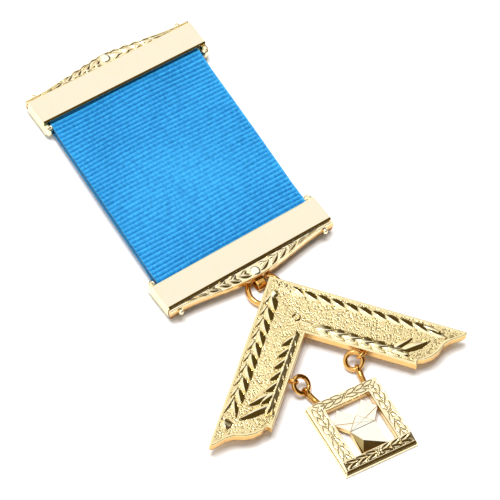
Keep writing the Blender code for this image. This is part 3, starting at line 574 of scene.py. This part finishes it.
# The eyelets are drawn in the wire gold painted in shade
eye_piece("left_eyelet", (-5.319, -35.178, LINK_HEIGHT), (0.9645, 0.1944, -0.1789), wire_painted_shade, "plate",
          (-94.6, 3.6, 0.66))
eye_piece("right_eyelet", (6.841, -36.156, LINK_HEIGHT), (-0.8934, 0.2267, -0.3878), wire_painted_shade, "plate",
          (-94.6, 3.6, 0.66))
eye_piece("back_eye", (1.354, -14.01, LINK_HEIGHT), (0.9997, 0.0227, 0.0), wire, "square",
          size=(0.75, 1.17, 0.7))


# Plate: a pierced frame of raised leaves, with the figure in its window
def plate_relief(x, y):
    """Height of the leaf loops on the rails: raised on the lower rail, cut in on the others."""
    height = np.zeros_like(x)
    half_x, half_y = PLATE_WIDTH / 2, PLATE_LENGTH / 2
    sill = -half_y + BOTTOM_RAIL
    # Middle, heading, reach to each side, width of the rail, height of the line and its width
    rails = (
        ((0.0, half_y - TOP_RAIL / 2), 0.0, half_x - SIDE_RAIL / 2, TOP_RAIL, -0.07, 0.085),
        ((-half_x + SIDE_RAIL / 2, -0.1), 90.0, half_y - TOP_RAIL / 2, SIDE_RAIL, -0.06, 0.085),
        ((half_x - SIDE_RAIL / 2, -0.1), 90.0, half_y - TOP_RAIL / 2, SIDE_RAIL, -0.06, 0.085),
        ((0.0, sill - BOTTOM_RAIL / 2 + 0.05), 0.0, half_x - 0.9, BOTTOM_RAIL, 0.20, 0.16),
    )
    for middle, heading, reach, breadth, rise, line in rails:
        pitch = (reach + 0.4) / 3.4
        made = np.zeros_like(x)
        for way in (heading, heading + 180.0):
            run, across = np.array(direction(way)), np.array(direction(way + 90.0))
            for number in range(3):
                start = np.array(middle) + run * (0.45 + pitch * number)
                for row in (-1, 1):
                    made = np.maximum(made, loop_leaf(
                        x, y, start + across * row * 0.12, direction(way + row * 15.0), pitch * 1.2,
                        0.17 * breadth, line))
        for k in range(4):
            made = np.maximum(made, loop_leaf(
                x, y, middle, direction(heading + 45.0 + 90.0 * k), 0.75, 0.2, line))
        made = made * (smoothstep(-0.1, 0.1, sill - y) if rise > 0 else smoothstep(0.0, 0.1, y - sill))
        height = np.where(made > 0.02, rise * made, height)
    return height


def fine_lines(marks, pitch):
    """Grid lines from mark to mark that crowd together beside each mark."""
    parts = []
    fine = np.array([0.0, 0.04, 0.1, 0.18])
    for start, end in zip(marks, marks[1:]):
        inner = np.linspace(start + 0.26, end - 0.26, max(int((end - start) / pitch), 3))
        parts.append(np.concatenate([start + fine, inner, end - fine[::-1]]))
    return np.unique(np.round(np.concatenate(parts), 6))


def plate_piece():
    """The pierced frame: a skin over the rails, a stepped lip outside and a wall round the window."""
    inset, sill_inset, near = 0.12, 0.34, 1e-4
    face, inside, under, shade, lines = range(5)
    left, right = -PLATE_WIDTH / 2 + inset, PLATE_WIDTH / 2 - inset
    low, high = -PLATE_LENGTH / 2 + sill_inset, PLATE_LENGTH / 2 - inset
    west, east = -PLATE_WIDTH / 2 + SIDE_RAIL, PLATE_WIDTH / 2 - SIDE_RAIL
    south, north = -PLATE_LENGTH / 2 + BOTTOM_RAIL, PLATE_LENGTH / 2 - TOP_RAIL
    xs = fine_lines((left, west, east, right), 0.074)
    ys = fine_lines((low, south, north, high), 0.074)
    x, y = np.meshgrid(xs, ys, indexing="ij")
    mx, my = np.meshgrid((xs[1:] + xs[:-1]) / 2, (ys[1:] + ys[:-1]) / 2, indexing="ij")
    keep = ~((mx > west) & (mx < east) & (my > south) & (my < north))
    outer = np.minimum(np.minimum(x - left, right - x), np.minimum(y - low, high - y))
    hole = np.maximum(np.maximum(west - x, x - east), np.maximum(south - y, y - north))
    edge = np.minimum(outer, hole)
    height = plate_relief(x, y) * smoothstep(0.08, 0.22, edge)
    slope = 0.30 * np.clip(south - 0.15 - y, 0.0, None)
    z = np.minimum(PLATE_TOP + height - slope - edge_drop(edge, 0.08), PLATE_TOP + 0.1)
    points = np.column_stack([x.reshape(-1), y.reshape(-1), z.reshape(-1)])
    faces = grid_faces(len(xs), len(ys), keep)
    # Faces of the cut-in lines take the dim painted shade
    slots = np.where(height.reshape(-1)[faces].mean(axis=1) < -0.03, lines, face).tolist()
    used, faces = np.unique(faces, return_inverse=True)
    points, faces = points[used], faces.reshape(-1, 4)
    loops = sorted(boundary_loops(faces), key=lambda loop: -np.ptp(points[loop][:, 0]))
    stack, all_faces, rims = [points], [list(map(int, f)) for f in faces], []
    lip = sill_inset + 0.30
    # Rings below the outer edge and the window's: outward, the same at the sill, height, material
    # The shade rings take dark painted shade: the outer edge cut and the top of the window wall; the inside
    # rings take the painted reflection, the under ring the painted shade and reflection
    profiles = (
        ((0.02, 0.02, None, face), (0.11, 0.44, 1.10, face), (0.115, 0.445, 0.66, shade),
         (0.12, 0.45, 0.62, shade), (0.39, lip - 0.03, 0.60, face), (0.42, lip, 0.54, face),
         (0.42, lip, 0.05, face), (0.38, lip - 0.04, 0.0, under)),
        ((0.0, 0.0, 1.62, shade), (0.0, 0.0, 0.1, inside), (-0.05, -0.05, 0.0, inside)),
    )
    for loop, profile in zip(loops, profiles):
        plan, brink = points[loop][:, :2], points[loop][:, 2]
        if profile is profiles[0]:
            reach = ((plan > np.array([right, high]) - near).astype(float)
                     - (plan < np.array([left, low]) + near))
            sill = plan[:, 1] < low + near
        else:
            reach = outward(points, loop)
            sill = np.zeros(len(loop), bool)
        rings = []
        for shift, sill_shift, level, slot in profile:
            heights = brink - 0.03 if level is None else np.minimum(brink - 0.05, level)
            wide = np.column_stack([np.full(len(loop), shift), np.where(sill, sill_shift, shift)])
            rings.append((np.column_stack([plan + reach * wide, heights]), slot))
        rims.append(skirt(stack, all_faces, slots, loop, rings))
    points = np.concatenate(stack)
    fill_floor(points, all_faces, slots, rims, inside)
    item = mesh_piece("plate_frame", points, all_faces, PLATE,
                      [polished_cast, wall_painted_reflection, side, painted_shade_dark, painted_shade_dim], 28.0, slots)
    stands_for(item, "plate")


def prism(loop, bottom, top, bevel=0.06):
    """A flat-topped solid with a softened upper edge from a plan outline that runs anticlockwise."""
    plan = np.array(loop, float)
    run_in = plan - np.roll(plan, 1, axis=0)
    run_out = np.roll(plan, -1, axis=0) - plan
    run_in /= np.linalg.norm(run_in, axis=1, keepdims=True)
    run_out /= np.linalg.norm(run_out, axis=1, keepdims=True)
    left_in = np.stack([-run_in[:, 1], run_in[:, 0]], axis=1)
    left_out = np.stack([-run_out[:, 1], run_out[:, 0]], axis=1)
    mitre = left_in + left_out
    mitre /= np.maximum((mitre * left_in).sum(axis=1, keepdims=True), 0.3)
    rings = ((0.0, bottom), (0.0, top - bevel), (bevel * 0.3, top - bevel * 0.3), (bevel, top))
    points = [np.column_stack([plan + mitre * inset, np.full(len(plan), z)]) for inset, z in rings]
    return np.concatenate(points), stacked_faces(len(rings), len(plan))


def ridge(start, end, top, wide=0.05, rise=0.05, sink=0.02):
    """A fine raised line between two plan points."""
    a, b = np.array(start), np.array(end)
    along = (b - a) / np.linalg.norm(b - a)
    across = np.array([-along[1], along[0]]) * wide
    foot = [(*spot, top - sink) for spot in (a - across, b - across, b + across, a + across)]
    points = foot + [(*a, top + rise), (*b, top + rise)]
    return np.array(points), [[3, 2, 1, 0], [0, 1, 5, 4], [2, 3, 4, 5], [0, 4, 3], [1, 2, 5]]


def figure_piece():
    """The right triangle and the squares on its sides; the large square has a cut facet."""
    face, inside, shade, dim = range(4)
    half, gap = FIGURE_BASE / 2, 0.04
    floor = -PLATE_LENGTH / 2 + BOTTOM_RAIL - 0.15
    base = floor + FIGURE_BASE
    middle = base + half
    limit = PLATE_WIDTH / 2 - SIDE_RAIL + 0.1
    triangle_top = FIGURE_TOP + 0.1
    shapes = (
        (((-half, base + gap), (-gap, middle), (-half, middle + half), (-2 * half, middle)), FIGURE_TOP),
        (((half, base + gap), (2 * half, middle), (half, middle + half), (gap, middle)), FIGURE_TOP),
        (((-half, base), (half, base), (0.0, middle)), triangle_top),
    )
    points, faces, slots = [], [], []

    def add(made, sides, materials):
        faces.extend([len(points) + i for i in side] for side in sides)
        points.extend(made)
        slots.extend(materials)

    # The figure's tops take the painted highlight and its walls the painted reflection; its left facets take
    # dim painted shade and its right facet dark painted shade
    for loop, top in shapes:
        loop = [(min(max(px, -limit), limit), py) for px, py in loop]
        made, sides = prism(loop, FIGURE_BOTTOM, top)
        add(made, sides, [inside] * (len(sides) - 1) + [face])
    top = base - gap
    crease, pit = (-half + 1.4, floor + 2.9, FIGURE_TOP), (-half + 0.45, floor + 0.95, 0.25)
    made = [(*spot, 0.10) for spot in ((-half, floor), (half, floor), (half, top), (-half, top))]
    made += [(-half, floor, 0.2), (half, floor, 0.6), (half, floor + 0.2, FIGURE_TOP),
             (half, top, FIGURE_TOP), (-half, top, FIGURE_TOP), crease, pit]
    sides = [[3, 2, 1, 0], [0, 1, 5, 4], [1, 2, 7, 6, 5], [2, 3, 8, 7], [3, 0, 4, 8],
             [4, 10, 8], [10, 9, 8], [10, 6, 9], [4, 5, 6, 10], [6, 7, 8, 9]]
    add(made, sides, [inside] * 5 + [dim, dim, shade, face, face])
    for way in (-1, 1):
        made, sides = ridge((way * (2 * half - 0.5), middle), (-way * half, base), triangle_top)
        add(made, sides, [inside] * len(sides))
    item = mesh_piece("plate_figure", points, faces, PLATE, [painted_highlight, wall_painted_reflection, painted_shade_dark, painted_shade_dim], 12.0, slots)
    stands_for(item, "plate")


plate_piece()
figure_piece()


# Bars
def front_plate(name, frame_mm, node):
    """Polished plate with an edge cut along both long sides."""
    half_x, half_y, end_bevel = BAR_LENGTH / 2, BAR_DEPTH / 2, 0.10
    # Distance in from the long side, and height
    section = ((0.30, FRONT_BOTTOM), (0.30, BAR_TOP - 0.56), (0.0, BAR_TOP - 0.42), (0.0, BAR_TOP - 0.36),
               (0.03, BAR_TOP - 0.31), (0.27, BAR_TOP - 0.06), (0.33, BAR_TOP - 0.015), (0.41, BAR_TOP))
    ring = [(inset - half_y, z) for inset, z in section] + [(half_y - inset, z) for inset, z in section[::-1]]
    from_end = (0.0, 0.03, end_bevel)
    stations = [along - half_x for along in from_end] + [half_x - along for along in from_end[::-1]]
    points = []
    for x in stations:
        drop = end_bevel - min(half_x - abs(x), end_bevel)
        for y, z in ring:
            points.append((x, y * (1.0 - drop / half_y), z - drop * (z > FRONT_BOTTOM + 0.01)))
    faces = [face[::-1] for face in stacked_faces(len(stations), len(ring))]
    band = [0 if j == len(section) - 1 else 1 for j in range(len(ring))]
    slots = band * (len(stations) - 1) + [1, 1]
    item = mesh_piece(name, points, faces, frame_mm, [polished, bar_side], 30.0, slots)
    stands_for(item, node)


def arch_reach(x):
    """How far the ornament reaches beyond the bar at a place along it."""
    span = BAR_LENGTH / 2 - 1.55
    share = np.minimum(np.abs(x) / span, 1.0)
    return ARCH_END + ARCH_RISE * (0.5 + 0.5 * np.cos(np.pi * share))


# Leaves of the ornament, on both sides of its middle: place along and out, lean, length, half width
ARCH_LEAVES = ((1.2, 5.30, -24.0, 3.0, 0.58), (1.6, 3.75, 26.0, 2.0, 0.44), (3.8, 5.35, -31.0, 3.1, 0.60),
               (4.1, 3.60, 26.0, 2.0, 0.44), (6.1, 5.05, -29.0, 2.9, 0.54), (6.7, 3.50, 22.0, 2.0, 0.40),
               (8.5, 4.75, -22.0, 3.1, 0.46), (9.2, 3.45, 16.0, 2.1, 0.34), (11.2, 4.25, -13.0, 3.0, 0.36),
               (13.7, 3.90, -9.0, 3.0, 0.26))


def strip_relief(x, y, reach):
    """Height of the cast ornament: a rim along the arch and acanthus leaves inside it."""
    edge = reach - (y - BAR_DEPTH / 2)
    height = 0.24 * smoothstep(0.02, 0.14, edge) * (1.0 - smoothstep(0.30, 0.50, edge))
    for along, out, lean, length, half in ARCH_LEAVES:
        for way in (-1, 1):
            run, rise = direction(lean)
            height = np.maximum(height, leaf(
                x, y, (way * along, out), (way * run, rise), length, half, 0.28,
                rib=0.25, tip=0.5, low=0.5, fold=1.6))
    return height


def ornament(name, frame_mm, node, scallops):
    """The cast strip beside the bar, as a relief with walls and a floor."""
    half, base, near = BAR_LENGTH / 2, ORNAMENT_TOP + 0.08, 0.02
    xs = np.linspace(near - half, half - near, 480)
    share = np.concatenate([np.linspace(0.0, 0.94, 48), [0.965, 0.98, 0.992, 1.0]])
    x = np.repeat(xs[:, None], len(share), axis=1)
    out = np.abs(x)
    scallop = 0.5 + 0.5 * np.cos(2.0 * np.pi * (out - 1.4) / 2.45)
    scallop = scallop * smoothstep(1.2, 2.2, out) * (1.0 - smoothstep(9.0, 11.5, out))
    reach = arch_reach(x) - scallops * scallop
    y = BAR_DEPTH / 2 + near + (reach - near) * share
    edge = np.minimum(reach - (y - BAR_DEPTH / 2), half - out)
    rising = 0.34 * np.clip(1.0 - (y - BAR_DEPTH / 2) / 2.4, 0.0, 1.0)
    z = base + rising + strip_relief(x, y, reach) - edge_drop(edge, 0.05)
    points = np.column_stack([x.reshape(-1), y.reshape(-1), z.reshape(-1)])
    faces = grid_faces(len(xs), len(share))
    walls = [(0.0, base - 0.3), (0.0, 2.0), (-0.12, 1.8), (-0.55, BAR_UNDERSIDE + 0.05), (-0.6, BAR_UNDERSIDE)]
    # The walls below take the painted shade and reflection gold
    points, faces, slots = close_below(points, faces, [0] * len(faces), walls, 1)
    item = mesh_piece(name, points, faces, frame_mm, [polished_cast, side], 45.0, slots)
    stands_for(item, node)


# Profile of a button: share of its radius, and drop from its top in shares of the radius
BUTTON = ((1.0, 0.35), (0.93, 0.16), (0.72, 0.05), (0.55, 0.14), (0.45, 0.1), (0.25, 0.02), (0.08, 0.0))


def button(name, frame_mm, spot, radius, base, top, node):
    """A small domed post with a groove round it."""
    profile = [(radius * 0.92, base), (radius, base + 0.08)]
    profile += [(radius * wide, top - radius * drop) for wide, drop in BUTTON]
    points, faces = turned(profile, 36)
    item = mesh_piece(name, points, faces, frame_mm @ Matrix.Translation((*spot, 0.0)), [polished_cast], 50.0)
    stands_for(item, node)


def cheek(name, frame_mm, way, node):
    """The end plate behind the bar's front, with a round foot."""
    radius = (BAR_LENGTH / 2 - CHEEK_INSIDE) / 2
    middle, head = way * (BAR_LENGTH / 2 - radius), BAR_DEPTH / 2 - 0.2
    foot = -BAR_DEPTH / 2 - 1.2 + radius
    outline = [(middle + radius, head), (middle - radius, head)]
    for step in range(13):
        run, rise = direction(180.0 + 15.0 * step)
        outline.append((middle + radius * run, foot + radius * rise))
    points, faces = prism(outline, BAR_UNDERSIDE, FRONT_BOTTOM + 0.05, 0.15)
    slots = [1] * (len(faces) - 1) + [0]
    item = mesh_piece(name, points, faces, frame_mm, [polished_cast, bar_side], 45.0, slots)
    stands_for(item, node)


def bar_pieces(node, frame_mm, scallops):
    front_plate(node + "_front", frame_mm, node)
    ornament(node + "_ornament", frame_mm, node, scallops)
    half_x, half_y = BAR_LENGTH / 2, BAR_DEPTH / 2
    for way, mark in ((-1, "left"), (1, "right")):
        button(f"{node}_curl_{mark}", frame_mm, (way * (half_x - 2.3), half_y + 1.15), 0.58,
               ORNAMENT_TOP - 0.75, ORNAMENT_TOP + 0.25, node)
        button(f"{node}_scroll_{mark}", frame_mm, (way * 19.66, -half_y - 0.95), 0.78,
               BAR_UNDERSIDE + 0.05, ORNAMENT_TOP + 0.2, node)
        cheek(f"{node}_cheek_{mark}", frame_mm, way, node)
    reach = CHEEK_INSIDE + 0.1
    points, faces = turned([(ROD_RADIUS, -reach), (ROD_RADIUS, reach)], 16)
    lying = Matrix.Translation((0, 0, ROD_HEIGHT)) @ Matrix.Rotation(math.radians(90), 4, "Y")
    # The rod takes the painted shade and reflection gold
    rod = mesh_piece(node + "_rod", points, faces, frame_mm @ lying, [side], 50.0)
    stands_for(rod, node)
    radius, shoulder, rise, steps = 1.15, ORNAMENT_TOP + 0.1, 0.45, 9
    profile = [(radius, ORNAMENT_TOP - 0.3)]
    for step in range(steps):
        run, height = direction(90.0 * step / steps)
        profile.append((radius * run ** 0.35, shoulder + rise * height))
    profile.append((0.05, shoulder + rise))
    points, faces = turned(profile, 40)
    # Each boss takes the painted highlight gold
    boss = mesh_piece(node + "_boss", points, faces, frame_mm @ Matrix.Translation((0.0, half_y + 1.55, 0.0)),
                      [painted_highlight], 60.0)
    stands_for(boss, node)


def strap():
    """The slotted loop under the bottom bar that holds the large ring."""
    inner, outer, half, start, slot = 0.75, 1.17, 1.1, 5.2, 1.9
    # Radius, and place across the strap
    section = [(outer - 0.02, half - 0.22), (outer, half - 0.3), (outer, 0.3 - half),
               (outer - 0.02, 0.22 - half), (outer - 0.16, -half), (inner + 0.12, -half),
               (inner, 0.14 - half), (inner, half - 0.14), (inner + 0.12, half), (outer - 0.16, half)]
    points = []
    for centre, first in ((start, 90.0), (start + slot, -90.0)):
        for step in range(13):
            run, rise = direction(first + 15.0 * step)
            points += [(across, centre + radius * run, LINK_HEIGHT + radius * rise)
                       for radius, across in section]
    faces = band_faces(len(points) // len(section), len(section), True)
    # The strap is drawn in the wire gold painted in shade
    item = mesh_piece("bottom_bar_strap", points, faces, BOTTOM_BAR, [wire_painted_shade], 45.0)
    stands_for(item, "bottom_bar")


bar_pieces("top_bar", TOP_BAR, 0.30)
bar_pieces("bottom_bar", BOTTOM_BAR, 0.05)
strap()


# Ribbon: one strip round both rods, ribbed on its outside
def ribbon_piece():
    """Outer and inner rows of points: along the face, round the lower rod, back and round the upper rod."""
    outer_radius, inner_radius, ply, steps = 1.15, 0.72, 0.5, 14
    across = np.concatenate([[-1.0, -0.994, -0.982], np.linspace(-0.96, 0.96, 66), [0.982, 0.994, 1.0]])
    x = (across * RIBBON_WIDTH / 2)[None, :]
    parts = np.array([0.0, 0.05, 0.13, 0.27, 0.5, 0.73, 0.87, 0.95])
    ribs = int(RIBBON_RUN / RIB_PITCH)
    pitch = RIBBON_RUN / ribs
    nominal = np.append(((np.arange(ribs)[:, None] + parts) * pitch).reshape(-1), RIBBON_RUN)[:, None]
    humps = np.append(np.tile(np.sin(np.pi * parts) ** 0.85, ribs), 0.0)[:, None]

    # The ribs wander a little along the strip
    bell = np.exp(-((nominal - 20.0) / 13.0) ** 2)
    wander = 0.12 * np.sin(nominal / 7.0 + x / 6.0) + 0.07 * np.sin(nominal / 2.6 - x / 3.7)
    fade = smoothstep(0.0, 5.0, np.minimum(nominal, RIBBON_RUN - nominal))
    along = nominal - fade * (wander + 0.22 * bell * np.cos(x / 12.0 + 0.5))

    # The face bows up between the rods, and its grooves are shallower in the middle
    near = np.minimum(along, RIBBON_RUN - along)
    reach = outer_radius + (ply - outer_radius) * smoothstep(1.5, 10.0, near)
    bow = 4 * RIBBON_BOW * (along / RIBBON_RUN) * (1 - along / RIBBON_RUN)
    middle = np.exp(-((along - 30.0) / 11.0) ** 2 - (x / 15.0) ** 2)
    groove = 0.46 * (1.0 - 0.45 * middle) * (1.0 + 0.35 * np.exp(-(near / 9.0) ** 2))
    lift = groove * smoothstep(0.0, 0.02, 1.0 - np.abs(across)) * (humps - 1.0)

    def turn(first, centre):
        angles = np.radians(first - 180.0 * np.arange(1, steps) / steps)[:, None] + 0.0 * x
        return (centre + outer_radius * np.cos(angles), outer_radius * np.sin(angles),
                centre + inner_radius * np.cos(angles), inner_radius * np.sin(angles), 0.0 * angles[:, :1])

    # Outer y and z, inner y and z, and how far the back ply slides aside
    face = (along, bow + reach + lift, along, bow + reach - 0.64, 0.0 * nominal)
    back = (along, bow - reach - lift, along, bow - reach + 0.30,
            np.sin(np.pi * nominal / RIBBON_RUN) ** 0.5)
    rows = zip(face, turn(90.0, RIBBON_RUN), [grid[::-1] for grid in back], turn(270.0, 0.0))
    outer_y, outer_z, inner_y, inner_z, slide = (np.concatenate(row) for row in rows)
    top, bottom = np.array(TOP_BAR), np.array(BOTTOM_BAR)
    spread = (x - 0.42 * slide)[..., None]

    def set_down(y, z):
        """Places between the upper bar's line and the lower one's, which is turned round."""
        upper = top[:2, 3] + spread * top[:2, 0]
        lower = bottom[:2, 3] - spread * bottom[:2, 0]
        plan = upper + (lower - upper) * (y / RIBBON_RUN)[..., None]
        return np.concatenate([plan, (ROD_HEIGHT + z)[..., None]], axis=-1).reshape(-1, 3)

    count, cols = outer_y.shape
    points = np.concatenate([set_down(outer_y, outer_z), set_down(inner_y, inner_z)])
    inside, last = count * cols, cols - 1
    faces, slots = [], []
    for i in range(count):
        a, b = i * cols, (i + 1) % count * cols
        # The inner skin of the turns and the back ply, and both edges, take the painted shade cloth
        slots += [0, 0 if i < len(along) else 1] * last + [1, 1]
        for j in range(last):
            faces.append([a + j, b + j, b + j + 1, a + j + 1])
            faces.append([inside + a + j, inside + a + j + 1, inside + b + j + 1, inside + b + j])
        faces.append([a, inside + a, inside + b, b])
        faces.append([a + last, b + last, inside + b + last, inside + a + last])
    item = mesh_piece("ribbon_cloth", points, faces, Matrix.Identity(4), [cloth, cloth_painted_shade], 60.0, slots)
    stands_for(item, "ribbon")


ribbon_piece()

# Brooch pin: the construction model's own, with a wire material
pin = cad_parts["brooch_pin"].data
pin.materials.clear()
pin.materials.append(wire)


# Floor, light and camera
def floor_piece():
    mesh = bpy.data.meshes.new("floor")
    size = 1.2
    corners = [(-size, -size, 0), (size, -size, 0), (size, size, 0), (-size, size, 0)]
    mesh.from_pydata(corners, [], [(0, 1, 2, 3)])
    item = bpy.data.objects.new("floor", mesh)
    bpy.context.scene.collection.objects.link(item)
    material, tree, shader = principled("paper", (0.90, 0.90, 0.90), 0.0, 0.85)
    fibres = noise(tree, 900.0, 3.0)
    tint(tree, shader, fibres.outputs["Fac"], ((0.895, 0.895, 0.90), (0.905, 0.905, 0.905)), 0.3, 0.7)
    mesh.materials.append(material)


# Dark zones of the surroundings: direction, and angles within which they are full and beyond which none
DARK_ZONES = (((0.30, -0.75, 0.55), 38.0, 54.0), ((0.95, 0.20, 0.05), 36.0, 55.0))


def world_light():
    """White surroundings with a dark zone in front and one to the right, and warmer towards the floor."""
    world = bpy.data.worlds.new("studio")
    bpy.context.scene.world = world
    world.use_nodes = True
    tree = world.node_tree
    tree.nodes.clear()
    output = tree.nodes.new("ShaderNodeOutputWorld")
    background = tree.nodes.new("ShaderNodeBackground")
    background.inputs["Strength"].default_value = 1.08
    heading = tree.nodes.new("ShaderNodeTexCoord").outputs["Generated"]
    both = tree.nodes.new("ShaderNodeMath")
    both.operation = "MULTIPLY"
    for number, (centre, inner, outer) in enumerate(DARK_ZONES):
        toward = tree.nodes.new("ShaderNodeVectorMath")
        toward.operation = "DOT_PRODUCT"
        toward.inputs[1].default_value = Vector(centre).normalized()
        tree.links.new(heading, toward.inputs[0])
        level = tree.nodes.new("ShaderNodeMapRange")
        level.interpolation_type = "SMOOTHSTEP"
        level.inputs["From Min"].default_value = math.cos(math.radians(outer))
        level.inputs["From Max"].default_value = math.cos(math.radians(inner))
        level.inputs["To Min"].default_value = 1.0
        level.inputs["To Max"].default_value = 0.0
        tree.links.new(toward.outputs["Value"], level.inputs["Value"])
        tree.links.new(level.outputs["Result"], both.inputs[number])
    lift = tree.nodes.new("ShaderNodeSeparateXYZ")
    tree.links.new(heading, lift.inputs["Vector"])
    warmth = tree.nodes.new("ShaderNodeValToRGB")
    warmth.color_ramp.elements[0].color = (1.0, 0.82, 0.60, 1.0)
    warmth.color_ramp.elements[1].position = 0.5
    tree.links.new(lift.outputs["Z"], warmth.inputs["Fac"])
    mixed = tree.nodes.new("ShaderNodeMix")
    mixed.data_type = "RGBA"
    # Colours A and B of this node are inputs 6 and 7, and its colour result is output 2
    mixed.inputs[6].default_value = (0.075, 0.046, 0.010, 1.0)
    tree.links.new(both.outputs["Value"], mixed.inputs[0])
    tree.links.new(warmth.outputs["Color"], mixed.inputs[7])
    tree.links.new(mixed.outputs[2], background.inputs["Color"])
    tree.links.new(background.outputs["Background"], output.inputs["Surface"])


def area_light(name, spot, size, power, shines):
    """A round soft light that looks at the middle of the jewel."""
    data = bpy.data.lights.new(name, "AREA")
    data.shape = "DISK"
    data.size = size
    data.energy = power
    item = bpy.data.objects.new(name, data)
    item.location = spot
    item.rotation_euler = (-Vector(spot)).to_track_quat("-Z", "Y").to_euler()
    item.visible_glossy = shines
    bpy.context.scene.collection.objects.link(item)


def camera():
    """The photo's view: where it looks from, and how far the camera is rolled."""
    elevation, azimuth, roll = math.radians(57.0), math.radians(-38.37), math.radians(5.72)
    target, distance = Vector((0.004473, 0.000078, 0.0)), 0.7229
    back = Vector((math.sin(azimuth) * math.cos(elevation), -math.cos(azimuth) * math.cos(elevation),
                   math.sin(elevation)))
    right = Vector((math.cos(azimuth), math.sin(azimuth), 0.0))
    up = back.cross(right)
    x_axis = right * math.cos(roll) + up * math.sin(roll)
    y_axis = up * math.cos(roll) - right * math.sin(roll)
    data = bpy.data.cameras.new("camera")
    data.sensor_width = 36.0
    data.lens = 249.48
    data.clip_start = 0.05
    item = bpy.data.objects.new("camera", data)
    turn = Matrix((x_axis, y_axis, back)).transposed().to_4x4()
    item.matrix_world = Matrix.Translation(target + back * distance) @ turn
    bpy.context.scene.collection.objects.link(item)
    bpy.context.scene.camera = item


floor_piece()
world_light()
area_light("glint", (-0.14, 0.20, 0.74), 0.16, 1.2, True)
area_light("overhead", (0.04, 0.13, 0.76), 0.45, 5.5, False)
camera()
bpy.context.scene.view_settings.view_transform = "Standard"
